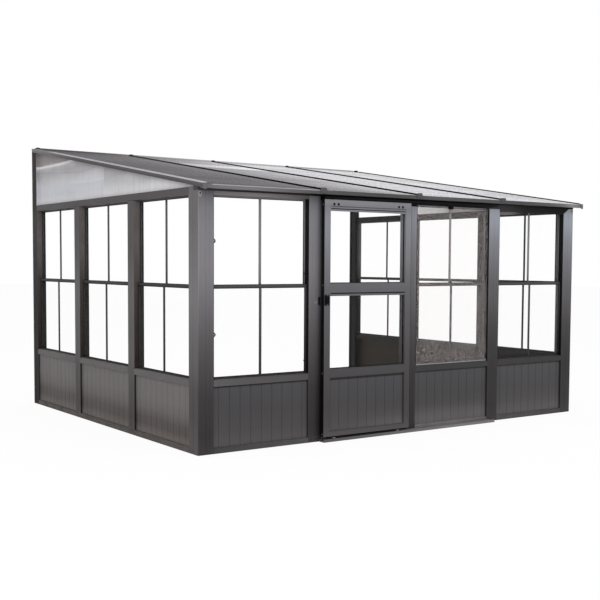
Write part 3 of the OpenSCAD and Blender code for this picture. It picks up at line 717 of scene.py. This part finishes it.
def meshCloth(name, look):
    # woven insect screen: open squares between hair-thin pale threads, fuller in grains a few squares wide
    p = startPaint(name)
    dusty = (p.noise(look["grain"], detail=2, rough=0.7) + p.noise(look["grain"] * 1.63, detail=1)) * 0.5
    share = look["share"] + dusty.between(0.45, 0.58) * look["patch"]
    upright = share > (p.x / look["pitch"]).of("FRACT")
    level = share > (p.z / look["pitch"]).of("FRACT")
    color = p.mix(dusty.between(0.4, 0.7), rgb(0.90, 0.80, 0.77), rgb(0.98, 0.90, 0.87))
    return p.finish({"Base Color": color, "Roughness": 0.75, "Alpha": upright.of("MAXIMUM", level),
                     "Specular IOR Level": 0.1, "Normal": p.bump(dusty, 0.2, 0.0003)})


def mouldedPlastic(name, look):
    # moulded plastic or rubber: a fine grain and soft paler patches
    p = startPaint(name)
    sheen = gloss(look)
    grain = p.noise(700, detail=2)
    cloud = p.noise(11, detail=3)
    color = p.tones(p.z, look["tones"], sheen)
    color = p.times(cloud.between(0.35, 0.7) * 0.35, color, 1.5)
    return p.finish({"Base Color": color, "Roughness": look["rough"] + (cloud - 0.5) * 0.2,
                     "Specular IOR Level": look["shine"],
                     "Normal": p.bump(grain, 0.3, 0.0004)})


def zincSteel(name, tone):
    # zinc plate: a fine spangle, duller and browner in patches
    p = startPaint(name)
    spangle = p.noise(160, detail=3)
    stain = p.noise(30, detail=4).between(0.5, 0.75)
    color = p.mix(stain * 0.5, tone, rgb(0.16, 0.13, 0.11))
    return p.finish({"Base Color": color, "Metallic": 0.85 - stain * 0.3, "Roughness": 0.34 + spangle * 0.2,
                     "Normal": p.bump(spangle, 0.2, 0.0003)})


def oneTone(byte, warmth=0.0):
    # the same tone from the ground to above the roof
    return [(0.0, byte, warmth), (2.7, byte, warmth)]


blackLook = {"tones": oneTone(20, 0.02), "cloud": 0.1, "streak": 0.06, "shine": 0.10, "wear": 0.25,
             "dust": 0.1, "dirt": (60, 0.08), "gain": 0.08}
matteLook = {**blackLook, "shine": 0.0, "rough": 0.85}
plasticLook = {"tones": oneTone(24), "rough": 0.55, "shine": 0.20, "gain": 0.08}
# where the tone tables below rise and fall along a part, that is painted light and shade
paints = {
    "posts": coatedMetal("post_coat", postLook, postShades),
    "sidePosts": coatedMetal("side_post_coat", {**sideLook, "tones": sideTones}, jambLine),
    # darker than the side posts: painted shade
    "rearPosts": coatedMetal("rear_post_coat", {
        **sideLook, "shine": 0.05, "inner": (44, 0.06),
        "tones": [(0.0, 34, 0.06), (0.5, 40, 0.04), (1.0, 42, 0.03), (1.5, 50, 0.02), (1.9, 62, 0.02),
                  (2.1, 50, 0.02), (2.6, 46, 0.02)]}, wallChannelShade),
    "baseFront": coatedMetal("front_base_coat", {
        **alongX, "dirt": (78, 0.04),
        "tones": [(0.1, 69, 0.01), (0.9, 82, 0.01), (2.3, 122), (2.7, 124), (3.05, 108, 0.01),
                  (3.2, 82, 0.02), (4.1, 72, 0.03)]}),
    "baseSide": coatedMetal("side_base_coat", {
        **alongY, **sideLook, "dirt": (88, 0.10),
        "tones": [(0.1, 82, 0.07), (1.5, 79, 0.09), (3.5, 79, 0.09)]}),
    "sillFront": coatedMetal("front_sill_coat", {
        **alongX,
        "tones": [(0.1, 91), (0.9, 83), (2.3, 65), (3.1, 64), (4.1, 59)]}),
    "sillSide": coatedMetal("side_sill_coat", {
        **alongY, **sideLook, "tones": [(0.1, 95, 0.02), (3.5, 95, 0.03)]}),
    # the front top rails: pale over the first bay as painted light, dark beyond as painted shade under the
    # fascia
    "topFront": coatedMetal("front_top_coat", {
        **alongX,
        "tones": [(0.1, 121, 0.02), (0.5, 136, 0.02), (0.8, 120, 0.03), (1.05, 86, 0.03),
                  (4.2, 60, 0.03)]}),
    "topSide": coatedMetal("side_top_coat", {
        **alongY, **sideLook, "tones": [(0.1, 80, 0.01), (1.2, 80, 0.02), (3.5, 78, 0.02)]}, sunPatch),
    "fascia": coatedMetal("fascia_coat", {**alongX, "tones": eaveTones, "gain": 0.12}, fasciaTop),
    "endCaps": coatedMetal("bar_end_coat", {**alongX, "tones": eaveTones, "gain": 0.12}),
    # the side bars' room faces are near-black as painted shade, and their tones paler towards the house as
    # painted light
    "sideBars": coatedMetal("side_bar_coat", {
        **alongY, **sideLook, "inner": (24, 0.02), "innerFrom": 0.2,
        "tones": [(-0.1, 88, 0.01), (2.4, 86, 0.01), (2.7, 100, 0.01), (3.0, 120, 0.02), (3.5, 124, 0.02)]},
        brightLip),
    "flashing": coatedMetal("flashing_coat", {
        **matteLook, "axis": "x",
        "tones": [(0.0, 70, 0.02), (0.9, 96, 0.01), (1.2, 140), (2.4, 168), (4.2, 150)]}),
    "sashes": coatedMetal("sash_coat", sashLook),
    "sideSashes": coatedMetal("side_sash_coat", sideSashLook),
    # the eave beam: near-black beyond the first bay as painted shade under the fascia
    "beam": coatedMetal("eave_beam_coat", {
        **alongX, **blackLook,
        "tones": [(0.0, 64, 0.03), (1.0, 46, 0.03), (1.2, 22, 0.02), (4.2, 22, 0.02)]}),
    "darkX": coatedMetal("dark_coat_across", {**alongX, **blackLook, "axis": "z"}),
    "darkY": coatedMetal("dark_coat_down_slope", {
        **alongY, **matteLook,
        "tones": [(-0.1, 16, 0.02), (0.9, 22, 0.02), (2.0, 42, 0.01), (3.6, 60, 0.01)]}),
    # the header: near-black as painted shade under the fascia, paler over the third post as painted light
    "header": coatedMetal("header_coat", {
        **alongX, **blackLook,
        "tones": [(0.9, 20, 0.02), (3.0, 34, 0.02), (3.2, 60, 0.02), (3.35, 56, 0.02), (3.6, 38, 0.02),
                  (4.2, 22, 0.02)]}),
    "track": coatedMetal("track_coat", {
        **alongX, "dust": 0.1,
        "tones": [(1.1, 86, 0.01), (1.7, 98, 0.01), (2.1, 106, 0.01), (2.5, 121), (3.2, 118)]}),
    "door": coatedMetal("door_coat", {
        "tones": [(0.04, 84, 0.02), (0.15, 74, 0.02), (0.3, 71, 0.02), (0.55, 75), (0.7, 79),
                  (0.9, 87, -0.01), (1.1, 93, -0.03), (1.27, 98, -0.04), (1.5, 118, -0.05),
                  (1.7, 129, -0.06), (1.85, 132, -0.06), (1.95, 120, -0.05), (1.99, 132, -0.05)],
        "rough": 0.40}, doorEdgeDark),
    "frontBoards": boardPaint("front_board_coat", boardLook, False),
    "sideBoards": boardPaint("side_board_coat", {**boardLook, "shine": 0.12, "gain": 0.15}, True),
    "roof": roofSheetPaint("roof_sheet", roofLook),
    "gable": gableSheetPaint("gable_sheet", gableLook),
    "film": clearFilm("window_film", 0.008, 0.12),
    "glass": clearFilm("door_pane", 0.006, 0.05),
    "screen": meshCloth("screen_mesh_weave", {"pitch": 0.0016, "share": 0.010, "patch": 0.038, "grain": 61}),
    "plastic": mouldedPlastic("black_moulding", plasticLook),
    "rubber": mouldedPlastic("black_seal", {
        **plasticLook, "tones": oneTone(16), "rough": 0.7, "shine": 0.10}),
    # the liners' tones rise with height as painted light, and the front ones are near-black as painted shade
    # in the reveals
    "liner": mouldedPlastic("side_track_liner", {
        **plasticLook, "shine": 0.10,
        "tones": [(0.58, 50, 0.20), (1.0, 64, 0.13), (1.3, 76, 0.09), (1.6, 98, 0.06), (2.0, 96, 0.07)]}),
    "frontLiner": mouldedPlastic("front_track_liner", {
        **plasticLook, "shine": 0.10, "tones": [(0.58, 28, 0.04), (1.3, 32, 0.04), (2.0, 38, 0.02)]}),
    "steel": zincSteel("zinc_plate", rgb(0.42, 0.42, 0.43)),
    "brightTrim": zincSteel("bright_trim", rgb(0.36, 0.37, 0.39)),
    "paleTrim": mouldedPlastic("pale_ring", {**plasticLook, "tones": oneTone(150)}),
}
wearers = {   # the nodes that wear each finish
    "posts": "corner_posts front_posts",
    "sidePosts": "left_side_posts right_side_posts",
    "rearPosts": "rear_posts",
    "baseFront": "front_base_rail",
    "baseSide": "left_base_rail right_base_rail",
    "sillFront": "front_sill_rails",
    "sillSide": "left_sill_rails right_sill_rails",
    "topFront": "front_top_rails",
    "topSide": "left_top_rails right_top_rails",
    "frontBoards": "front_kick_panels door_kick_panel",
    "sideBoards": "left_kick_panels right_kick_panels",
    "sashes": "front_window_sashes",
    "sideSashes": "left_window_sashes right_window_sashes",
    "film": "front_window_panes left_window_panes right_window_panes",
    "screen": "insect_screen",
    "gable": "left_gable_sheet right_gable_sheet",
    "beam": "eave_beam",
    "fascia": "eave_fascia",
    "darkX": "house_ledger door_top_track",
    "sideBars": "side_roof_bars",
    "darkY": "roof_bars roof_bar_caps",
    "endCaps": "roof_end_caps",
    "roof": "roof_sheets",
    "flashing": "wall_flashing",
    "header": "header_plate",
    "track": "door_bottom_track",
    "plastic": "door_keeper door_handle door_guides",
    "door": "door_frame",
    "glass": "door_glass",
    "steel": "door_rollers",
}
for finish, names in wearers.items():
    for name in names.split():
        held = nodes[name].data.materials
        held.clear()
        held.append(paints[finish])
print("finishes:", len(paints))


windowTrim = {
    "barWidth": 0.022,
    "barDepth": 0.012,
    "barBevel": 0.003,
    # metres along from the middle of each pane, bay by bay, the lower sash before the upper
    "barShifts": {"front": [0.0, 0.010, 0.006, 0.006, 0.013, 0.013], "left": [0.0] * 6,
                  "right": [-0.02, -0.05, -0.06, -0.06, -0.09, -0.09]},
    "seal": 0.004,
}


def paneFrames(name, axis):
    # every pane of a wall as (stretch along the wall, stretch in depth, stretch in height)
    heights = spansOf(name, 2)
    depths = spansOf(name, 1 - axis)
    if name.startswith("right"):
        depths = depths[::-1]
    return [(run, depths[k], heights[k]) for run in spansOf(name, axis) for k in (0, 1)]


def wallPoint(axis, along, depth, height):
    # the point x, y, z of a place on a wall that runs along x (axis 0) or y (axis 1)
    return (along, depth, height) if axis == 0 else (depth, along, height)


def windowBars(name, axis, shifts):
    # one upright bar in each pane, as deep as its bead, set that far along from the pane's middle
    look = windowTrim
    profile = softBox(look["barWidth"], look["barDepth"], look["barBevel"])
    shapes = []
    for k, (run, depth, height) in enumerate(paneFrames(name, axis)):
        x = middle(run) + shifts[k]
        low = wallPoint(axis, x, middle(depth), height[0])
        high = wallPoint(axis, x, middle(depth), height[1])
        shapes.append(sweptBar(profile, low, high, wallPoint(axis, 1, 0, 0)))
    return joined(shapes)


def paneSeals(name, axis):
    # a thin rubber line round each pane, on the sheet's outer face
    size = windowTrim["seal"]
    profile = softBox(size, size, size * 0.3)
    shapes = []
    for run, depth, height in paneFrames(name, axis):
        y = depth[1] + size / 2 if name.startswith("right") else depth[0] - size / 2
        edges = run[0] + size / 2, run[1] - size / 2, height[0] + size / 2, height[1] - size / 2
        for a, b in frameRuns(*edges):
            shapes.append(sweptBar(profile, wallPoint(axis, a[0], y, a[1]),
                                   wallPoint(axis, b[0], y, b[1]), wallPoint(axis, 0, 1, 0)))
    return joined(shapes)


linerTrim = {
    "skin": 0.0014,
    "rib": 0.0024,
    "pitch": 0.0062,
    "reach": (0.0020, 0.0287),    # metres behind the wall's face, down to the sill
    "upper": (0.0293, 0.0517),    # the same, down to the lower sash's head
    "screen": (0.0135, 0.0160),   # left free for the insect screen
    "gap": 0.0003,
}


def trackLiners(wall, axis):
    # ribbed plastic strips down both jambs of each window: one before the lower sash, one above it
    look = linerTrim
    gap = look["gap"]
    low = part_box(wall + "_sill_rails")[1].z + gap
    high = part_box(wall + "_top_rails")[0].z - gap
    meeting = spansOf(wall + "_window_panes", 2)[1][0] + 0.0012
    face, inwards = {"front": (wallLow.y, 1), "left": (wallLow.x, 1), "right": (wallHigh.x, -1)}[wall]
    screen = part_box("insect_screen")[0]
    shapes = []
    for run in spansOf(wall + "_window_sashes", axis):
        strips = [(look["reach"], low), (look["upper"], meeting)]
        if axis == 0 and abs(run[0] - screen.x) < 0.01:
            (near, deep), (start, end) = look["reach"], look["screen"]
            strips = [((near, start), low), ((end, deep), low), strips[1]]
        for edge, turn in ((run[0] + gap, 1), (run[1] - gap, -1)):
            side = np.cross(wallPoint(axis, turn, 0, 0), (0, 0, 1))
            for (near, deep), foot in strips:
                depth = face + inwards * (near + deep) / 2
                profile = combStrip(deep - near, look["skin"], look["rib"], look["pitch"])
                shapes.append(sweptBar(profile, wallPoint(axis, edge, depth, foot),
                                       wallPoint(axis, edge, depth, high), side))
    return joined(shapes)


for wall, axis in (("front", 0), ("left", 1), ("right", 1)):
    panes = wall + "_window_panes"
    piece(wall + "_window_bars", windowBars(panes, axis, windowTrim["barShifts"][wall]),
          "sideSashes" if axis else "sashes", "frame")
    piece(wall + "_pane_seals", paneSeals(panes, axis), "rubber", "frame")
    piece(wall + "_track_liners", trackLiners(wall, axis), "liner" if axis else "frontLiner", "frame")

pullTrim = {
    "radius": 0.0125,
    "wire": 0.0052,
    "reach": 0.004,
    "upperRing": 0.50,     # shares of the pane's height
    "lowerRing": 0.48,
    "pin": 0.13,
    "pinLength": 0.014,
}


def frontPulls():
    # a pull ring at the left of each sash and a latch pin at its right
    look = pullTrim
    head = np.array([[0, 0], [0.0032, 0], [0.0032, look["pinLength"]], [0.0045, look["pinLength"]],
                     [0.0045, look["pinLength"] + 0.004], [0, look["pinLength"] + 0.004]])
    rings = []
    pins = []
    for k, (run, _, height) in enumerate(paneFrames("front_window_panes", 0)):
        tall = height[1] - height[0]
        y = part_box("front_window_panes")[0].y - 0.004
        z = height[0] + tall * look["upperRing" if k % 2 else "lowerRing"]
        rings.append(ovalRing((run[0] + look["reach"], y, z), (1, 0, 0), (0, 0, 1),
                              (look["radius"], look["radius"]), look["wire"]))
        pins.append(turned(head, (run[1] + 0.004, y, height[0] + tall * look["pin"]), (-1, 0, 0), 10))
    return joined(rings), joined(pins)


ringSet, pinSet = frontPulls()
piece("window_pull_rings", ringSet, "plastic", "frame", True)
piece("window_latch_pins", pinSet, "plastic", "frame", True)


screenTrim = {"hem": 0.007, "hemDepth": 0.004, "spline": 0.011, "splineDepth": 0.003, "bevel": 0.001}


def screenHem():
    # the bright hem of the insect screen, round its four sides
    look = screenTrim
    low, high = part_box("insect_screen")
    y = low.y - 0.0022
    half = look["hem"] / 2
    profile = softBox(look["hem"], look["hemDepth"], look["bevel"])
    runs = frameRuns(low.x + half, high.x - half, low.z + half, high.z - half)
    sides = ((0, 0, 1), (0, 0, 1), (1, 0, 0), (1, 0, 0))
    return joined([sweptBar(profile, (a[0], y, a[1]), (b[0], y, b[1]), s) for (a, b), s in zip(runs, sides)])


def screenSplines():
    # black cords that hold the screen's two upright edges
    look = screenTrim
    low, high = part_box("insect_screen")
    y = low.y - 0.006
    half = look["spline"] / 2
    profile = softBox(look["spline"], look["splineDepth"], look["bevel"])
    return joined([sweptBar(profile, (x, y, low.z), (x, y, high.z), (1, 0, 0))
                   for x in (low.x + half, high.x - half)])


piece("screen_splines", screenSplines(), "rubber", "frame")


padTrim = {
    "post": (0.082, 0.012),       # width and depth
    "window": (0.052, 0.018),
    "drops": (0.019, 0.029),      # foot of each pad below the top rail's sole
    "shifts": (-0.042, -0.036),   # from the post's right edge and from the window's middle
}


def headPads():
    # black stops under the header: one on the post that the leaf slides past, one at the head of
    # the next window
    look = padTrim
    post = spansOf("front_posts", 0)[1]
    window = spansOf("front_window_sashes", 0)[1]
    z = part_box("front_top_rails")[0].z
    spots = ((post[1], 0.001, look["post"]), (middle(window), 0.010, look["window"]))
    shapes = []
    for (x, back, size), shift, drop in zip(spots, look["shifts"], look["drops"]):
        foot, head = (x + shift, wallLow.y + back, z - drop), (x + shift, wallLow.y + back, z - 0.001)
        shapes.append(sweptBar(softBox(*size, 0.002), foot, head, (1, 0, 0)))
    return joined(shapes)


piece("head_pads", headPads(), "rubber", "frame")


def gableEndStrips():
    # a narrow return of the gable sheet over each rear post's window face, above the side rail
    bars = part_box("side_roof_bars")
    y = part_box("rear_posts")[0].y - 0.0015
    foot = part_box("left_top_rails")[1].z + 0.0005
    head = bars[0].z + (y - bars[0].y) * roofSlope() - 0.001
    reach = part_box("left_gable_sheet")[0].x - wallLow.x - 0.001
    shapes = []
    for side in (-1, 1):
        x = side * (wallHigh.x - 0.0005 - reach / 2)
        shapes.append(sweptBar(softBox(reach, 0.002, 0.0004), (x, y, foot), (x, y, head), (1, 0, 0)))
    return joined(shapes)


piece("gable_end_strips", gableEndStrips(), "gable", "frame")
piece("screen_hem", screenHem(), "brightTrim", "frame")
print("windows dressed")

screwLook = {
    "radius": 0.0048,
    "height": 0.0026,
    "capSpacing": 0.42,
    "rearHeights": [0.16, 0.856, 1.50, 1.756, 2.32],
    "rearSize": (0.0045, 0.0022),
    "boltRadius": 0.0085,
    "boltHeight": 0.009,
}


def panHead(axis, radius, height):
    # a low dome with a small socket in its middle
    dome = np.array([[0, 0], [radius, 0], [radius, height * 0.45], [radius * 0.8, height * 0.85],
                     [radius * 0.42, height], [radius * 0.30, height * 0.55], [0, height * 0.55]])
    return turned(dome, (0, 0, 0), axis, 12)


def hexHead(axis, radius, height):
    # a washer under a six-sided head
    wide, thick = radius * 1.5, 0.002
    edge, crown = height * 0.85, radius * 0.88
    washer = np.array([[0, 0], [wide, 0], [wide, thick], [0, thick]])
    block = np.array([[0, thick], [radius, thick], [radius, edge], [crown, height], [0, height]])
    return joined([turned(washer, (0, 0, 0), axis, 20), turned(block, (0, 0, 0), axis, 6)])


def rearPostScrews():
    # pan heads down the outer face of both rear posts
    low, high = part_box("rear_posts")
    heads = []
    for side, x in ((-1, low.x), (1, high.x)):
        places = [(x, high.y - 0.022, z) for z in screwLook["rearHeights"]]
        heads.append(copies(panHead((side, 0, 0), *screwLook["rearSize"]), places))
    return joined(heads)


piece("rear_post_screws", rearPostScrews(), "steel", "frame", True)


def capScrews():
    # a row of screws down the middle of each roof cap, square to the slope
    low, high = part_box("roof_bar_caps")
    slope = roofSlope()
    normal = unit((0, -slope, 1))
    run = np.linspace(low.y + 0.12, high.y - 0.12, int((high.y - low.y) / screwLook["capSpacing"]))
    top = high.z - (high.y - run) * slope - 0.0006
    places = [(middle(span), y, z) for span in spansOf("roof_bar_caps", 0) for y, z in zip(run, top)]
    return copies(panHead(normal, screwLook["radius"], screwLook["height"]), places)


piece("roof_cap_screws", capScrews(), "darkY", "frame", True)


bootTrim = {"radii": (0.036, 0.020, 0.0235), "sink": 0.024, "fromSide": 0.045}


def barEndBoots():
    # a rounded rubber boot over the upper end of each roof bar: half an ellipsoid set on the flashing
    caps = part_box("roof_bar_caps")
    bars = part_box("side_roof_bars")
    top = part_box("wall_flashing")[1].z
    turn = np.linspace(0, np.pi / 2, 6)
    dome = np.concatenate([[[0, 0]], np.stack([np.cos(turn), np.sin(turn)], 1)])
    dome[-1, 0] = 0
    points, faces = turned(dome, (0, 0, 0), (0, 0, 1), 20)
    foot = top - bootTrim["sink"]
    boot = points * np.array(bootTrim["radii"]), faces
    places = [(middle(span), caps[1].y + 0.012, foot) for span in spansOf("roof_bar_caps", 0)]
    fromSide = bootTrim["fromSide"]
    places += [(x, bars[1].y - 0.030, foot - 0.001) for x in (wallLow.x + fromSide, wallHigh.x - fromSide)]
    return copies(boot, places)


piece("bar_end_boots", barEndBoots(), "rubber", "frame", True)


def anchorBolts():
    # hex heads on the base rails, one over each anchor hole
    low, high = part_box("front_base_rail")
    y = (low.y + high.y) / 2
    places = [(middle(span), y, high.z) for span in spansOf("front_base_rail", 0)]
    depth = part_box("house_ledger")[1].y - low.y
    for name in ("left_base_rail", "right_base_rail"):
        a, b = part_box(name)
        places += [((a.x + b.x) / 2, low.y + depth * (2 * k + 1) / 6, b.z) for k in range(3)]
    return copies(hexHead((0, 0, 1), screwLook["boltRadius"], screwLook["boltHeight"]), places)


piece("ground_anchor_bolts", anchorBolts(), "steel", "frame")


sideBeadTrim = {"size": (0.010, 0.013, 0.003), "fromEdge": 0.030, "short": (0.004, 0.06), "lift": 0.0005}


def sideBarBeads():
    # a low bead along the inner edge of each side bar, its room face dark as painted shade: a straight run
    # up the slope
    look = sideBeadTrim
    low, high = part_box("side_roof_bars")
    slope = roofSlope()
    profile = softBox(*look["size"])
    ahead, behind = look["short"]
    top = high.z + look["lift"]
    back = np.array([0, high.y - behind, top - behind * slope])
    front = np.array([0, low.y + ahead, top - (high.y - low.y - ahead) * slope])
    shapes = []
    for side in (-1, 1):
        x = side * (high.x - look["fromEdge"])
        shapes.append(sweptBar(profile, front + [x, 0, 0], back + [x, 0, 0], (1, 0, 0)))
    return joined(shapes)


piece("side_bar_beads", sideBarBeads(), "sideBars", "frame")

ringLook = {"inset": 0.0187, "height": 2.002, "radii": (0.0095, 0.0190), "wire": 0.0030, "button": 0.0075}


def cornerRings():
    # an upright oval grommet at the head of each corner post, with a dark button in it, and a ring
    # by the keeper
    look = ringLook
    y = wallLow.y - 0.001
    spots = [(x, y, look["height"]) for x in (wallLow.x + look["inset"], wallHigh.x - look["inset"])]
    rings = [ovalRing(spot, (1, 0, 0), (0, 0, 1), look["radii"], look["wire"]) for spot in spots]
    low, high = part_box("door_keeper")
    rings.append(ovalRing((low.x - 0.0225, y + 0.0005, (low.z + high.z) / 2 - 0.008), (1, 0, 0), (0, 0, 1),
                          (0.010, 0.010), 0.0016))
    buttons = [(x, y, z + 0.008) for x, y, z in spots]
    return joined(rings), copies(panHead((0, -1, 0), look["button"], 0.002), buttons)


rings, buttons = cornerRings()
piece("post_rings", rings, "paleTrim", "frame", True)
piece("post_ring_buttons", buttons, "rubber", "frame", True)
print("fasteners set")

doorTrim = {
    "seal": 0.005,
    "brush": 0.012,
    "tufts": 240,
    "plug": 0.0112,
    "plugDrop": 0.038,          # from the leaf's head
    "plugShift": 0.022,         # to each side of the roller
    "edgeScrews": (1.30, 0.57),
}


def doorSeals():
    # black glazing rubber round both panes, on both faces
    size = doorTrim["seal"]
    half = size / 2
    profile = softBox(size, size, size * 0.3)
    (x0, x1), = spansOf("door_glass", 0)
    (y0, y1), = spansOf("door_glass", 1)
    shapes = []
    for z0, z1 in spansOf("door_glass", 2):
        for y in (y0 - half, y1 + half):
            for a, b in frameRuns(x0 + half, x1 - half, z0 + half, z1 - half):
                shapes.append(sweptBar(profile, (a[0], y, a[1]), (b[0], y, b[1]), (0, 1, 0)))
    return joined(shapes)


piece("door_pane_seals", doorSeals(), "rubber", "door")


def doorBrush():
    # the brush strip under the leaf: a thin wall whose lower edge rises and falls from tuft to tuft
    low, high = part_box("door_frame")
    tufts = doorTrim["tufts"]
    x = np.linspace(low.x + 0.03, high.x - 0.03, tufts)
    drop = doorTrim["brush"] * (0.82 + 0.18 * np.sin(np.arange(tufts) * 2.4))
    top = np.stack([x, np.full(tufts, (low.y + high.y) / 2 - 0.016), np.full(tufts, low.z)], 1)
    bottom = top - np.stack([np.zeros(tufts), np.full(tufts, -0.001), drop], 1)
    back = np.array([0, 0.003, 0])
    points = np.concatenate([top, bottom, bottom + back, top + back])
    k = np.arange(tufts - 1)
    faces = []
    for a, b in ((0, 1), (1, 2), (2, 3), (3, 0)):
        first, second = a * tufts + k, b * tufts + k
        faces += np.stack([first, second, second + 1, first + 1], 1).tolist()
    last = tufts - 1
    faces += [[0, 3 * tufts, 2 * tufts, tufts], [last, last + tufts, last + 2 * tufts, last + 3 * tufts]]
    return points, faces


piece("door_brush", doorBrush(), "rubber", "door")


beadLook = {
    "tall": (0.016, 0.018),     # top and middle rail
    "foot": (-0.011, -0.006),   # from the pane's head
    "line": 0.007,
    "lineDepth": 0.0014,
    "groove": 0.029,            # height of the thin line over the top pane
    "grooveWidth": 0.003,
}


def doorBeads():
    # a glazing bead along the foot of the top and middle rails, and thin black lines above them
    look = beadLook
    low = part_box("door_frame")[0]
    (x0, x1), = spansOf("door_glass", 0)
    tops = [span[1] for span in spansOf("door_glass", 2)][::-1]
    beads = []
    lines = []
    for top, tall, foot in zip(tops, look["tall"], look["foot"]):
        z = top + foot + tall / 2
        beads.append(sweptBar(softBox(tall, 0.004, 0.001), (x0, low.y, z), (x1, low.y, z), (0, 0, 1)))
        lines.append((look["line"], top + foot + tall + look["line"] / 2))
    lines.append((look["grooveWidth"], tops[0] + look["groove"]))
    lineSet = [sweptBar(softBox(tall, look["lineDepth"], 0.0004), (x0, low.y, z), (x1, low.y, z), (0, 0, 1))
               for tall, z in lines]
    return joined(beads), joined(lineSet)


doorBeadSet, doorLineSet = doorBeads()
piece("door_glazing_beads", doorBeadSet, "door", "door")
piece("door_rail_lines", doorLineSet, "rubber", "door")


def doorPlugs():
    # black plugs in the paired holes of the top rail, over each roller
    look = doorTrim
    low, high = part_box("door_frame")
    z = high.z - look["plugDrop"]
    places = [(middle(span) + side * look["plugShift"], low.y, z)
              for span in spansOf("door_rollers", 0) for side in (-1, 1)]
    return copies(panHead((0, -1, 0), look["plug"], 0.002), places)


piece("door_hole_plugs", doorPlugs(), "rubber", "door", True)


def doorScrews():
    # screws in the latch plate and down the leaf's closing edge
    low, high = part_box("door_handle")
    leafLow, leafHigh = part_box("door_frame")
    plate = [((low.x + high.x) / 2, low.y + 0.0113, z) for z in (low.z + 0.006, high.z - 0.006)]
    heights = (leafLow.z + 0.022, leafHigh.z - 0.042, *doorTrim["edgeScrews"])
    edge = [(leafLow.x, (leafLow.y + leafHigh.y) / 2, z) for z in heights]
    return joined([copies(panHead((0, -1, 0), 0.003, 0.0015), plate),
                   copies(panHead((-1, 0, 0), 0.0045, 0.002), edge)])


piece("door_screws", doorScrews(), "steel", "door", True)
print("door dressed")

floorLook = {"radius": 60.0, "drop": 0.0006, "glow": 0.94}


def seenRays(p):
    # 1 for rays that see the surround: the camera's, mirrored and passed through
    path = p.node("LightPath")
    seen = path.out("Is Camera Ray").of("MAXIMUM", path.out("Is Glossy Ray"))
    return seen.of("MAXIMUM", path.out("Is Transmission Ray"))


def floorDisc():
    # a flat fan of rings, wide enough to meet the white surround
    turn = np.linspace(0, 2 * np.pi, 64, endpoint=False)
    circle = np.stack([np.cos(turn), np.sin(turn), np.zeros(64)], 1)
    points = np.concatenate([np.zeros((1, 3))] + [circle * r for r in (4.0, 12.0, floorLook["radius"])])
    points[:, 2] = -floorLook["drop"]
    after = (np.arange(64) + 1) % 64
    faces = np.stack([np.zeros(64, int), 1 + np.arange(64), 1 + after], 1).tolist()
    faces += ringWall(65, 1, 64) + ringWall(129, 65, 64)
    mesh = bpy.data.meshes.new("studio_floor")
    mesh.from_pydata(points.tolist(), [], faces)
    made = placed("studio_floor", mesh)
    p = startPaint("pale_floor")
    lit = p.node("BsdfDiffuse", {}, {"Color": coat(248)})
    white = p.node("Emission", {}, {"Color": rgb(1), "Strength": 1.0})
    shader = p.node("MixShader", {}, [seenRays(p) * floorLook["glow"], lit, white])
    p.node("OutputMaterial", {}, {"Surface": shader})
    mesh.materials.append(p.owner)


floorDisc()

lightLook = {
    "world": 0.72,
    "key": {"at": (-7.5, -7.0, 5.2), "aim": (-0.4, -1.0, 1.1), "size": 6.0, "power": 330},
    "fill": {"at": (6.5, -9.5, 4.2), "aim": (0.6, -1.4, 1.2), "size": 6.0, "power": 210},
    "top": {"at": (0.0, 0.5, 8.0), "aim": (0.0, 0.0, 2.0), "size": 8.0, "power": 160},
}


def studioWorld():
    # soft even light all round, and plain white where it is seen
    world = bpy.data.worlds.new("studio")
    bpy.context.scene.world = world
    p = Paint(world)
    soft = p.node("Background", {}, {"Color": rgb(1), "Strength": lightLook["world"]})
    white = p.node("Background", {}, {"Color": rgb(1), "Strength": 1.0})
    p.node("OutputWorld", {}, {"Surface": p.node("MixShader", {}, [seenRays(p), soft, white])})


studioWorld()


def aimed(at, forward, upward):
    # a turned frame at a place whose -Z looks forward
    forward = unit(forward)
    right = unit(np.cross(forward, upward))
    up = np.cross(right, forward)
    grid = np.eye(4)
    grid[:3, 0], grid[:3, 1], grid[:3, 2], grid[:3, 3] = right, up, -forward, at
    return Matrix(grid.tolist())


for name in ("key", "fill", "top"):
    look = lightLook[name]
    lamp = bpy.data.lights.new(name + "_light", "AREA")
    lamp.shape = "DISK"
    lamp.size = look["size"]
    lamp.energy = look["power"]
    holder = placed(name + "_light", lamp)
    forward = np.array(look["aim"]) - np.array(look["at"])
    holder.matrix_world = aimed(look["at"], forward, (0, 1, 0.01) if name == "top" else (0, 0, 1))
    holder.visible_camera = False
    holder.visible_glossy = False

cameraLook = {
    "at": (-5.87855, -8.39770, 1.48249),
    "yaw": 35.0047,      # degrees from +Y towards +X
    "pitch": -3.4338,
    "roll": 0.2965,
    "lens": 60.304,
    "shift": 0.03882,
}


def studioCamera():
    # the camera from its place, its three turns, its lens and its upward shift
    look = cameraLook
    yaw, pitch, roll = (math.radians(look[k]) for k in ("yaw", "pitch", "roll"))
    forward = np.array([math.sin(yaw) * math.cos(pitch), math.cos(yaw) * math.cos(pitch), math.sin(pitch)])
    right = unit(np.cross(forward, (0, 0, 1)))
    upward = np.cross(right, forward) * math.cos(roll) - right * math.sin(roll)
    lens = bpy.data.cameras.new("studio_camera")
    lens.lens = look["lens"]
    lens.sensor_width = 36
    lens.shift_y = look["shift"]
    lens.clip_end = 200
    made = placed("studio_camera", lens)
    made.matrix_world = aimed(look["at"], forward, upward)
    bpy.context.scene.camera = made


studioCamera()
bpy.context.scene.view_settings.view_transform = "Standard"
print("stage, lights and camera set")

bpy.context.view_layer.update()
